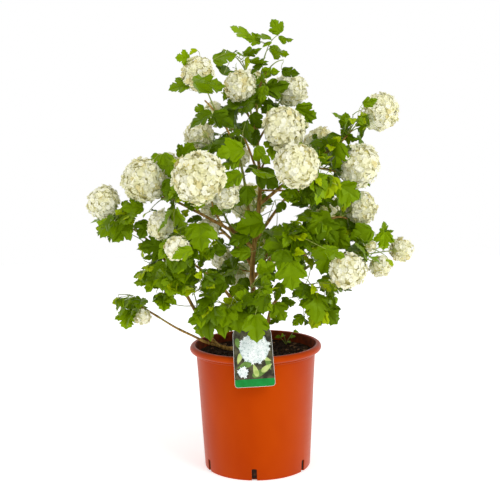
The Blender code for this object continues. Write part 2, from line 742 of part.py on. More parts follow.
def pot_profile():
    """The pot's section from the middle of its underside up, over the rim and down inside."""
    foot = POT_FOOT_RADIUS
    rise = POT_HEIGHT - 2 * RIM_ROLL
    wall_top = POT_WALL_TOP_RADIUS
    roll_middle = RIM_RADIUS - RIM_ROLL
    points = [(0, 0), (foot - POT_FOOT_ROUNDING, 0), (foot, POT_FOOT_ROUNDING), (wall_top, rise)]
    for step in range(RIM_ARC_STEPS + 1):
        turn = RIM_ARC_START + RIM_ARC_SWEEP * step / RIM_ARC_STEPS
        across = roll_middle + RIM_ROLL * math.cos(turn)
        height = POT_HEIGHT - RIM_ROLL + RIM_ROLL * math.sin(turn)
        points.append((across, height))
    points += [(wall_top - POT_WALL, rise), (foot - POT_WALL, POT_FLOOR), (0, POT_FLOOR)]
    return points


def turned(profile, segments):
    """A closed solid turned round the vertical axis from a profile that starts and ends on it."""
    bm = bmesh.new()
    verts = [bm.verts.new((across, 0, height)) for across, height in profile]
    edges = [bm.edges.new(pair) for pair in zip(verts, verts[1:])]
    bmesh.ops.spin(bm, geom=verts + edges, cent=(0, 0, 0), axis=(0, 0, 1), dvec=(0, 0, 0),
                   angle=math.tau, steps=segments, use_merge=True, use_duplicate=False)
    bmesh.ops.remove_doubles(bm, verts=bm.verts, dist=0.01 * MM)
    return bm


def build_pot(plastic):
    """The pot with its ring of drainage slots cut through the wall's foot."""
    pot = finish(turned(pot_profile(), POT_SEGMENTS), "pot", plastic, smooth_angle=SMOOTH_ANGLE)
    bm = bmesh.new()
    for number in range(SLOT_COUNT):
        turn = Matrix.Rotation(SLOT_FIRST_TURN + number * math.tau / SLOT_COUNT, 4, "Z")
        size = Matrix.Diagonal((SLOT_DEPTH, SLOT_WIDTH, 2 * SLOT_HEIGHT, 1))
        place = Matrix.Translation((POT_FOOT_RADIUS, 0, 0))
        bmesh.ops.create_cube(bm, size=1, matrix=turn @ place @ size)
    slots = as_cutter(finish(bm, "slots", plastic))
    cut(pot, slots)
    return pot


def build_soil(earth):
    """The potting soil, a plug that fills the pot's inside to a level top."""
    slope = (POT_WALL_TOP_RADIUS - POT_FOOT_RADIUS) / (POT_HEIGHT - 2 * RIM_ROLL)
    inner = POT_FOOT_RADIUS - POT_WALL - SOIL_SIDE_GAP
    low = POT_FLOOR + GAP
    profile = [(0, low), (inner + slope * low - GAP, low), (inner + slope * SOIL_TOP, SOIL_TOP),
               (0, SOIL_TOP)]
    return finish(turned(profile, POT_SEGMENTS), "potting_soil", earth, smooth_angle=SMOOTH_ANGLE)


def build_tag(plastic, limbs):
    """The tag's card with rounded corners, its strap, and the ring round the trunk."""
    bm = bmesh.new()
    corners = [(-TAG_WIDTH_FOOT / 2, 0), (TAG_WIDTH_FOOT / 2, 0),
               (TAG_WIDTH_TOP / 2, TAG_HEIGHT), (-TAG_WIDTH_TOP / 2, TAG_HEIGHT)]
    verts = [bm.verts.new((x, 0, z)) for x, z in corners]
    bm.faces.new(verts)
    bmesh.ops.bevel(bm, geom=verts, offset=TAG_CORNER, segments=TAG_CORNER_STEPS, profile=0.5,
                    affect="VERTICES", material=-1)
    made = bmesh.ops.extrude_face_region(bm, geom=bm.faces[:])
    moved = [item for item in made["geom"] if isinstance(item, bmesh.types.BMVert)]
    bmesh.ops.translate(bm, vec=(0, TAG_THICKNESS, 0), verts=moved)
    lean = Matrix.Rotation(-TAG_LEAN, 4, "X") @ Matrix.Rotation(TAG_TWIST, 4, "Y")
    rim_front = -RIM_RADIUS - 2 * GAP - TAG_THICKNESS
    lever = (POT_HEIGHT - RIM_ROLL - TAG_FOOT_Z) * math.tan(TAG_LEAN)
    place = Matrix.Translation((TAG_MIDDLE_X, rim_front - lever, TAG_FOOT_Z)) @ lean
    bmesh.ops.transform(bm, matrix=place, verts=bm.verts)
    card = finish(bm, "plant_tag", plastic)

    trunk = limbs["trunk"]["line"]
    share = (STRAP_RING_Z - trunk[0].z) / (trunk[-1].z - trunk[0].z)
    hub, axis = along(trunk, share)
    turn = UP.rotation_difference(axis).to_matrix().to_4x4()
    ring = strap_ring("strap ring", hub, turn, STRAP_RING_RADIUS, STRAP_WIDTH, plastic)
    hole_radius = STRAP_RING_RADIUS - STRAP_RING_WALL
    hole = strap_ring("strap hole", hub, turn, hole_radius, 2 * STRAP_WIDTH, plastic)
    cut(ring, hole)
    apply_modifiers(ring)

    top = place @ Vector((0, TAG_THICKNESS / 2, TAG_HEIGHT - STRAP_WIDTH))
    way = hub - top
    length = way.length - hole_radius - STRAP_RING_WALL / 2
    bm = bmesh.new()
    size = Matrix.Diagonal((STRAP_WIDTH, length, STRAP_THICKNESS, 1))
    lie = Vector((0, 1, 0)).rotation_difference(way).to_matrix().to_4x4()
    middle = Matrix.Translation(top + way.normalized() * length / 2)
    bmesh.ops.create_cube(bm, size=1, matrix=middle @ lie @ size)
    band = finish(bm, "strap", plastic)
    for piece in (band, ring):
        join = card.modifiers.new("join " + piece.name, "BOOLEAN")
        join.operation = "UNION"
        join.object = piece
    apply_modifiers(card)
    for piece in (band, ring, hole):
        bpy.data.objects.remove(piece)
    return card


def strap_ring(name, hub, turn, radius, height, plastic):
    """A short upright drum round the trunk."""
    bm = bmesh.new()
    place = Matrix.Translation(hub) @ turn
    bmesh.ops.create_cone(bm, cap_ends=True, segments=STRAP_RING_SEGMENTS, radius1=radius,
                          radius2=radius, depth=height, matrix=place)
    return finish(bm, name, plastic)


def main():
    for thing in list(bpy.data.objects):
        bpy.data.objects.remove(thing)
    terracotta = material("terracotta coloured polypropylene", (0.52, 0.10, 0.012), 0.38)
    earth = material("potting soil", (0.022, 0.010, 0.004), 0.95)
    print_card = material("printed plastic card", (0.75, 0.80, 0.70), 0.3)
    bark = material("young viburnum bark", (0.16, 0.10, 0.035), 0.8)
    leaf_green = material("fresh leaf", (0.13, 0.24, 0.012), 0.5)
    petal = material("snowball petals", (0.82, 0.82, 0.52), 0.6)
    pot = build_pot(terracotta)
    soil = build_soil(earth)
    limbs = grow_limbs()
    tag = build_tag(print_card, limbs)
    cutters = build_limbs(limbs, bark)
    obstacles = {(name,): search_tree(cutter) for name, cutter in cutters.items()}
    obstacles.update({(thing.name,): search_tree(thing) for thing in (pot, soil, tag)})
    grown = grow_masses(limbs)
    build_masses(grown, cutters, obstacles, (leaf_green, petal))


main()
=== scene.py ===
"""Looks of a snowball viburnum in its nursery pot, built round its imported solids.

The bush is grown again by the rule of its solids, with the same seeds, and carried on to finer
twigs, stalked leaves and the florets of each flower ball. Tables are in millimetres.
"""
import json
import math
import random

import bmesh
import bpy
import numpy as np
from mathutils import Matrix, Vector, noise
from mathutils.bvhtree import BVHTree

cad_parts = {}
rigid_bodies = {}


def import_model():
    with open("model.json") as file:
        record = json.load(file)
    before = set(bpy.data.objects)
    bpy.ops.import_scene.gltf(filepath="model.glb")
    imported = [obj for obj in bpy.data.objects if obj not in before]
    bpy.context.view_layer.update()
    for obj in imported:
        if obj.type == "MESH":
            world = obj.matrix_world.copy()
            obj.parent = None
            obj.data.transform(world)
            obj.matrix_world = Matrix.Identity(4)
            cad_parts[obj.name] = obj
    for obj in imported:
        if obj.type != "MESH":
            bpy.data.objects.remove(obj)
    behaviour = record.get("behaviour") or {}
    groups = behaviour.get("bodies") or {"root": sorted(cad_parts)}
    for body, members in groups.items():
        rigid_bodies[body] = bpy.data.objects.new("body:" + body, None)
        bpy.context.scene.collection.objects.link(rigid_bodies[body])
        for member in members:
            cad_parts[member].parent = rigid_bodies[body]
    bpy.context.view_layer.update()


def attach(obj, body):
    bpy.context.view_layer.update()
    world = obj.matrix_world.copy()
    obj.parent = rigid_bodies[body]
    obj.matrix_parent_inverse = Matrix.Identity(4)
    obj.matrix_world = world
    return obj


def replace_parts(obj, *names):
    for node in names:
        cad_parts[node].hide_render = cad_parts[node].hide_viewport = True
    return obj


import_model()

MM = 0.001
UP = Vector((0, 0, 1))
SMOOTH_ANGLE = math.radians(38)
ROUNDING = 1e-9
MERGE_REACH = 1e-4
STEEP = 0.9
GOLDEN_TURN = math.pi * (3 - math.sqrt(5))
GRAIN_ROUGHNESS = 0.55
NOISE_SPAN = {"From Min": 0.3, "From Max": 0.7}

# Pot: the solid's sizes, with the moulded details of its rim and foot
POT_HEIGHT = 198 * MM
POT_FOOT_RADIUS = 85 * MM
POT_WALL_TOP_RADIUS = 95 * MM
POT_WALL = 1.6 * MM
POT_FLOOR = 2.5 * MM
POT_FOOT_ROUNDING = 1.5 * MM
RIM_RADIUS = 105 * MM
RIM_ROLL = 5.6 * MM
RIM_ARC_STEPS = 14
RIM_ARC_START = math.radians(-115)
RIM_ARC_SWEEP = math.radians(250)
RIM_BEAD = 1.1 * MM
RIM_BEAD_DROP = 3.2 * MM
RIM_BEAD_TOP = 0.3 * MM
RIM_STEP = 0.2 * MM
POT_SEGMENTS = 144
SLOT_COUNT = 6
SLOT_WIDTH = 8 * MM
SLOT_HEIGHT = 19 * MM
SLOT_DEPTH = 12 * MM
SLOT_ROUNDING = 1.0 * MM
SLOT_FIRST_TURN = math.radians(-94)

# Potting soil, with its crumbs, bark chips and grains of perlite
SOIL_TOP = 178 * MM
SOIL_SIDE_GAP = 0.45 * MM
SOIL_RINGS = 34
SOIL_SEGMENTS = 120
SOIL_ROUGHNESS = 3.4 * MM
SOIL_BROAD = 26 * MM
SOIL_BROAD_SHARE = 0.55
SOIL_FINE = 6 * MM
SOIL_FINE_SHARE = 0.45
SOIL_SHIFT = Vector((7, 3, 1))
SOIL_SINK = 0.25
SOIL_FLAT_RADIUS = 56 * MM
SOIL_BANK_WIDTH = 36 * MM
SOIL_BANK = 5 * MM
CRUMBS = 1500
CRUMB_RADII = (0.8 * MM, 3.4 * MM)
CRUMB_SHARES = (0.4, 1)
CRUMB_SHAPE = (0.8, 0.75)
CHIPS = 90
CHIP_LENGTHS = (4 * MM, 11 * MM)
CHIP_ROUNDING = 0.35
CHIP_SHAPE = (0.45, 0.22)
PERLITE_GRAINS = 16
PERLITE_RADII = (0.7 * MM, 1.3 * MM)
PERLITE_SHAPE = (0.8, 0.9)
STREWN_EDGE = 3 * MM
STREWN_TIP = 0.5
STREWN_WAVES = 5
STREWN_PHASES = 6
STREWN_UNEVENNESS = 0.22
STREWN_RISE = 0.15

# Plant tag
TAG_WIDTH_TOP = 57 * MM
TAG_WIDTH_FOOT = 61 * MM
TAG_HEIGHT = 94 * MM
TAG_THICKNESS = 0.7 * MM
TAG_CORNER = 5 * MM
TAG_SHOULDER = 16 * MM
TAG_MIDDLE_X = -2 * MM
TAG_FOOT_Z = 155 * MM
TAG_LEAN = math.radians(3.5)
TAG_TWIST = math.radians(-2.5)
TAG_SEAT = 1.6 * MM
TAG_MARGIN = 0.4 * MM
TAG_BAND_HEIGHT = 12 * MM
CARD_ARC_PARTS = 8
CARD_SMOOTH_ANGLE = math.radians(30)
PRINT_STEP = 0.05 * MM
OVERPRINT = 0.1
PRINT_LEAF_WIDTH = 0.52
PRINT_HEAD_MARGIN = 0.5
ROSETTE_RADIUS = 3.3
ROSETTE_REACHES = (0.92, 1.04)
ROSETTE_SWAY = 0.1
ROSETTE_NOTCHES = (1.0, 0.86, 0.5, 0.5, 0.86)
PRINT_HEADS = ((2, 58, 22.5, 80), (-17, 23, 7.5, 12))
PRINT_DARK_LEAVES = ((-13, 34, 26, 160), (9, 21, 26, -20), (22, 33, 18, 75), (-22, 66, 18, 80))
PRINT_LIGHT_LEAVES = ((19, 28, 20, -35), (2, 25, 20, -105), (-21, 44, 18, 110), (20, 41, 14, 25))
STRAP_WIDTH = 6 * MM
STRAP_THICKNESS = 0.6 * MM
STRAP_RING_Z = 276 * MM
STRAP_RING_RADIUS = 7.5 * MM
STRAP_SEGMENTS = 28
STRAP_PARTS = 12
STRAP_BEND_AT = 0.4
STRAP_ARCH = 6 * MM

# Limbs: where each grows from and how far along that, foot and tip radius, then its way
# points. A limb that grows from nothing stands on the soil.
LIMB_STEP = 28 * MM
ROOT_FLARE = 0.7
ROOT_FLARE_HEIGHT = 9 * MM
ROOT_FLARE_RINGS = (0.15, 0.4)
BARK_SIDES = 14
BARK_STEP = 5 * MM
BARK_RELIEF = 0.09
BARK_JOINT_STEP = 42 * MM
BARK_JOINT_SWELL = 0.16
BARK_JOINT_WIDTH = 5 * MM
GREEN_FROM = {"bough_left_high": 0.1, "bough_right_foot": 0.6, "trunk": 0.75, "others": 0.8}
GREEN_OVER = 0.3
BARK_FINE = 2 * MM
BARK_FINE_STRETCH = 0.12
BARK_BROAD = 9 * MM
BARK_BROAD_SHARE = 0.8
LIMBS = {
    "trunk": (None, 0, 5.0, 1.9, (
        (0, 4, 178.3), (-1, 3, 215), (-1, 2, 251), (-3, 0, 316), (2, 0, 364),
        (9, 0, 413), (12, 0, 458), (9, 0, 505), (9, 2, 575))),
    "bough_right_high": ("trunk", 0.61, 3.0, 1.8, (
        (24, -4, 431), (51, -10, 453), (100, -14, 489), (128, -14, 508))),
    "bough_left_high": ("trunk", 0.53, 2.6, 1.7, (
        (-6, -6, 409), (-12, -12, 452), (-20, -18, 495), (-34, -26, 530))),
    "bough_left_middle": ("trunk", 0.43, 2.9, 1.8, (
        (-20, -14, 371), (-58, -28, 396), (-98, -34, 419), (-122, -36, 432))),
    "bough_left_low": ("trunk", 0.13, 3.0, 1.8, (
        (-16, -10, 244), (-33, -22, 269), (-58, -34, 304), (-86, -46, 328))),
    "bough_left_foot": ("trunk", 0.045, 3.5, 1.9, (
        (-22, -4, 192), (-42, -12, 192), (-60, -22, 201), (-76, -32, 223),
        (-92, -38, 257), (-110, -42, 294), (-132, -42, 332), (-150, -38, 356))),
    "bough_left_trailing": ("bough_left_foot", 0.21, 2.3, 1.4, (
        (-74, -36, 207), (-96, -44, 220), (-124, -42, 234), (-150, -38, 250))),
    "bough_right_foot": (None, 0, 3.4, 1.8, (
        (15, -10, 178.3), (17, -13, 215), (24, -17, 250), (46, -24, 290),
        (74, -34, 318), (102, -44, 336))),
    "bough_right_middle": ("trunk", 0.31, 2.9, 1.8, (
        (18, 2, 324), (50, 4, 352), (90, 2, 378), (122, 2, 394))),
    "bough_front": ("trunk", 0.09, 2.4, 1.6, (
        (-12, -14, 229), (-20, -32, 248), (-24, -52, 266))),
    "bough_back_low": ("trunk", 0.17, 2.8, 1.7, (
        (6, 24, 272), (14, 69, 300), (20, 108, 320))),
    "bough_back_left": ("trunk", 0.36, 2.8, 1.7, (
        (-22, 20, 348), (-56, 59, 378), (-90, 87, 404))),
    "bough_back_right": ("trunk", 0.46, 2.8, 1.7, (
        (22, 20, 388), (50, 59, 420), (78, 87, 448))),
    "bough_back_high": ("trunk", 0.68, 2.2, 1.6, (
        (6, 20, 474), (-4, 54, 504), (-14, 74, 530))),
}

# Foliage: the limb each mass grows from and how far along it, how many leafy shoots it has,
# its centre, its reach each way, and its flower balls as x, y, z and diameter.
MASSES = {
    "foliage_top_right": ("trunk", 1.0, 4, (36, -4, 652), (46, 42, 52), ()),
    "foliage_top_left": ("trunk", 0.95, 3, (-14, 10, 650), (42, 42, 46), ()),
    "foliage_upper_middle": ("trunk", 0.89, 2, (-24, -8, 590), (46, 44, 42), (
        (-17, -10, 604, 48),)),
    "foliage_upper_right": ("trunk", 0.85, 2, (62, 28, 585), (46, 46, 46), (
        (64, 30, 598, 53),)),
    "foliage_left_crest": ("bough_left_high", 1.0, 4, (-84, -50, 602), (52, 42, 62), (
        (-78, -60, 620, 50),)),
    "foliage_left_upper": ("bough_left_high", 0.65, 2, (-86, 18, 522), (46, 45, 46), (
        (-84, 30, 530, 45),)),
    "foliage_centre_high": ("trunk", 0.73, 3, (48, -56, 530), (52, 50, 52), (
        (48, -70, 538, 64),)),
    "foliage_centre_front": ("trunk", 0.665, 3, (66, -96, 474), (50, 52, 48), (
        (63, -120, 484, 66),)),
    "foliage_right_crest": ("bough_right_high", 1.0, 3, (166, -4, 542), (62, 50, 54), (
        (202, 10, 560, 59),)),
    "foliage_right_upper": ("bough_right_high", 0.62, 3, (146, -36, 468), (54, 48, 48), (
        (164, -40, 479, 64),)),
    "foliage_right_middle": ("bough_right_middle", 1.0, 4, (166, 10, 396), (62, 55, 48), (
        (172, 20, 409, 51),)),
    "foliage_right_outer": ("bough_right_foot", 1.0, 3, (170, -36, 334), (82, 62, 46), (
        (138, -91, 326, 55), (197, -20, 321, 34), (235, 10, 342, 38), (192, 77, 343, 24))),
    "foliage_right_skirt": ("bough_right_foot", 0.72, 3, (98, -54, 282), (52, 46, 42), ()),
    "foliage_centre_right": ("bough_right_middle", 0.35, 3, (58, -58, 362), (54, 46, 48), ()),
    "foliage_left_outer": ("bough_left_foot", 1.0, 3, (-204, -26, 402), (56, 46, 52), (
        (-231, -20, 428, 53), (-216, 40, 386, 32))),
    "foliage_left_high": ("bough_left_middle", 1.0, 3, (-156, -30, 448), (50, 48, 46), (
        (-165, -45, 464, 69),)),
    "foliage_left_front": ("bough_left_middle", 0.42, 3, (-70, -105, 462), (60, 54, 56), (
        (-77, -148, 471, 75), (-40, -85, 441, 39))),
    "foliage_left_inner": ("bough_left_middle", 0.25, 2, (-50, 8, 404), (48, 45, 42), (
        (-64, 20, 419, 41), (-71, -10, 385, 34))),
    "foliage_left_middle": ("bough_left_low", 1.0, 2, (-120, -89, 382), (52, 54, 46), (
        (-137, -85, 399, 42), (-111, -131, 369, 35))),
    "foliage_left_lower": ("bough_left_foot", 0.80, 3, (-152, -50, 322), (48, 45, 44), ()),
    "foliage_left_skirt": ("bough_left_low", 0.72, 3, (-88, -62, 296), (50, 44, 42), ()),
    "foliage_left_trailing": ("bough_left_trailing", 1.0, 3, (-194, -30, 276), (42, 36, 36), (
        (-172, -56, 254, 23),)),
    "foliage_front_left": ("bough_front", 1.0, 3, (-62, -89, 270), (50, 42, 36), ()),
    "foliage_front": ("bough_front", 0.60, 3, (10, -89, 294), (48, 44, 46), ()),
    "foliage_back_low_left": ("bough_back_low", 0.60, 2, (-40, 100, 306), (50, 50, 42), (
        (-54, 77, 326, 36), (-22, 122, 289, 43))),
    "foliage_back_high": ("bough_back_high", 1.0, 3, (-42, 105, 540), (50, 48, 55), (
        (-20, 115, 492, 33), (-62, 90, 571, 26))),
    "foliage_back_top": ("trunk", 0.80, 2, (-6, 92, 598), (48, 44, 48), (
        (4, 123, 612, 50),)),
    "foliage_back_right_high": ("bough_back_right", 1.0, 3, (108, 123, 486), (60, 54, 54), (
        (118, 143, 508, 60), (80, 164, 452, 50))),
    "foliage_back_right": ("bough_right_middle", 0.60, 2, (118, 105, 386), (56, 50, 48), (
        (124, 146, 392, 58),)),
    "foliage_back_left_high": ("bough_back_left", 1.0, 3, (-128, 118, 446), (60, 54, 54), (
        (-146, 138, 470, 62), (-98, 164, 430, 48))),
    "foliage_back_left": ("bough_back_left", 0.55, 2, (-112, 108, 346), (56, 50, 46), (
        (-124, 143, 350, 54),)),
    "foliage_back_centre": ("trunk", 0.50, 3, (-6, 128, 402), (52, 54, 50), (
        (-8, 174, 412, 64),)),
    "foliage_back_low": ("bough_back_low", 1.0, 2, (38, 159, 330), (56, 50, 46), (
        (40, 192, 330, 55),)),
    "foliage_right_back_low": ("bough_right_middle", 0.48, 2, (112, 64, 302), (54, 48, 44), ()),
}

# Twigs: a stem runs part of the way from its limb to the mass's centre, and shoots leave its
# outer part for the flower balls and for places in the mass's reach.
STEM_RADIUS = 2.2 * MM
STEM_TIP_RADIUS = 1.8 * MM
STEM_PARTS = 3
STEM_SHARE = 0.72
STEM_LEAN = 0.5
STEM_PULL = 0.45
SHOOT_FOOT_RADIUS = 1.4 * MM
SHOOT_TIP_RADIUS = 1.3 * MM
SHOOT_PARTS = 2
SHOOT_REACH = 0.62
SHOOT_AHEAD = 0.24
SHOOT_RISE = 0.18
SHOOT_SWAY = 0.1
SHOOT_BEND_AT = 0.45
BALL_SHOOTS_FROM = 0.6
BALL_SHOOTS_OVER = 0.35
LEAFY_SHOOTS_FROM = 0.5
LEAFY_SHOOTS_OVER = 0.5

# Where the place first tried isn't clear: how often to try on, and how far each try moves
BEND_TRIES = 18
BEND_MORE = 0.035
END_STEPS = 3
END_SINK = 0.3
END_TURN = 0.29
END_OUTWARD = 0.45
TWIG_CLEARANCE = 1.2 * MM
SAMPLE_STEP = 3 * MM

# Finer growth: real radii, side twigs, and stalked leaves in pairs at shares of a twig's length
FINE_PARTS = 10
STEM_RADII = (1.9 * MM, 1.2 * MM)
SHOOT_RADII = (1.1 * MM, 0.7 * MM)
SIDE_RADII = (0.8 * MM, 0.55 * MM)
STALK_RADII = (0.5 * MM, 0.42 * MM)
STALK_PARTS = 4
LEAFY_NODES = (0.34, 0.66, 0.97)
BALL_NODES = (0.3, 0.62)
SIDE_NODES = (0.55, 0.97)
SIDE_FROM = (0.5, 0.8)
SIDE_LENGTHS = (20 * MM, 36 * MM)
SIDE_TWIGS = 2
SIDE_AHEAD = 0.7
SIDE_RISE = 0.35
SIDE_OUTWARD = 0.3
SIDE_ARCH = 0.12
YOUNG_FROM = 0.9
JOINT_REACH = 2.5 * MM
SHARE_STEPS = 20
LEAF_TRIES = 11
LEAF_SPACE = 1.5
LEAF_CLEARANCE = 0.7 * MM
LEAF_LENGTHS = (26 * MM, 42 * MM)
SMALLER_FROM = (480 * MM, 640 * MM)
TOP_LEAF_SHARE = 0.72
SIDE_LEAF_SHARE = 0.74
YOUNG_LEAF_SHARE = 0.6
STALK_LENGTHS = (7 * MM, 16 * MM)
YOUNG_STALK_SHARE = 0.55
STALK_BEND_AT = 0.6

# A leaf's way out of its twig, how its blade hangs from its stalk, and where its face looks
LEAF_SWAY = 0.25
LEAF_MORE_SWAY = 0.12
LEAF_LIFT = 0.5
LEAF_SPLAYS = (0.6, 1.0)
YOUNG_SPLAY = 0.6
LEAF_AHEAD = 0.5
LEAF_OUTWARD = 0.25
LEAF_HANGS = (0.1, 1.0)
YOUNG_HANGS = (-0.1, 0.5)
BLADE_OUTWARD = 0.3
FACE_SIDEWAYS = 0.5
FACE_RISES = (0.35, 1.1)
FACE_LEANS = (0.3, 1.2)
FACE_SWAY = 0.5

# Greens: how far out and how high the crown turns paler, and the shares of each green.
# The deeper greens towards the crown's inside are painted shade.
GREEN_REACH = 180 * MM
GREEN_LEVEL = 430 * MM
GREEN_RISE = 700 * MM
GREEN_SHADE_PULL = 0.3
YOUNG_GREEN_SHARE = 0.35
GREEN_SHARES = (0.08, 0.45)

# Leaf: the three panels of its right half, in shares of its length, round its ribs. A leaf
# is a blend of the lobed shape and the plain one, which have the same points.
LOBED_PANELS = (
    ((0, 0), (0.13, -0.05), (0.3, 0.0), (0.35, 0.1), (0.46, 0.16), (0.44, 0.27),
     (0.55, 0.36), (0.58, 0.55), (0.38, 0.36), (0.19, 0.18)),
    ((0, 0), (0.19, 0.18), (0.38, 0.36), (0.58, 0.55), (0.46, 0.56), (0.4, 0.62),
     (0.25, 0.55), (0, 0.46), (0, 0.22)),
    ((0, 0.46), (0.25, 0.55), (0.29, 0.63), (0.36, 0.71), (0.26, 0.76), (0.26, 0.86),
     (0.13, 0.89), (0, 1.0), (0, 0.74)),
)
PLAIN_PANELS = (
    ((0, 0), (0.1, -0.01), (0.22, 0.04), (0.31, 0.13), (0.36, 0.22), (0.4, 0.28),
     (0.41, 0.37), (0.42, 0.47), (0.28, 0.32), (0.14, 0.16)),
    ((0, 0), (0.14, 0.16), (0.28, 0.32), (0.42, 0.47), (0.38, 0.52), (0.35, 0.56),
     (0.18, 0.51), (0, 0.46), (0, 0.22)),
    ((0, 0.46), (0.18, 0.51), (0.32, 0.61), (0.28, 0.69), (0.22, 0.76), (0.17, 0.85),
     (0.08, 0.91), (0, 1.0), (0, 0.74)),
)
LEAF_BULGE = 0.065
GREENS = (("young", "98AC02"), ("fresh", "7C9A00"), ("full", "6A8600"), ("deep", "546E00"))
CURL_AHEAD = 0.3
RIPPLES = 11
RIPPLE_RISE = 3
FOLD_NARROWS = 0.12
LEAF_BENDS = {"droop": (0.05, 0.5), "fold": (-0.05, 0.5), "curl": (-0.3, 0.6),
              "wave": (0.01, 0.07), "turn": (0, math.tau)}
LEAF_LOBES = (0.35, 1.2)
YOUNG_LOBES = (0.0, 0.5)
YOUNG_FOLD = 1.5
RIB_ANGLE = math.radians(27)
LEAF_RIM = ((0, 0), (0.34, 0.12), (0.5, 0.51), (0.27, 0.72), (0, 1.0), (-0.27, 0.72),
            (-0.5, 0.51), (-0.34, 0.12))
LEAF_MIDDLE = (0, 0.4)
LEAF_TIP = 4
BLADE_SHRINK = 0.12
BLADE_FOOT_SHRINK = 0.4
BLADE_REACH = 1.3
RIM_GAP = 2 * MM
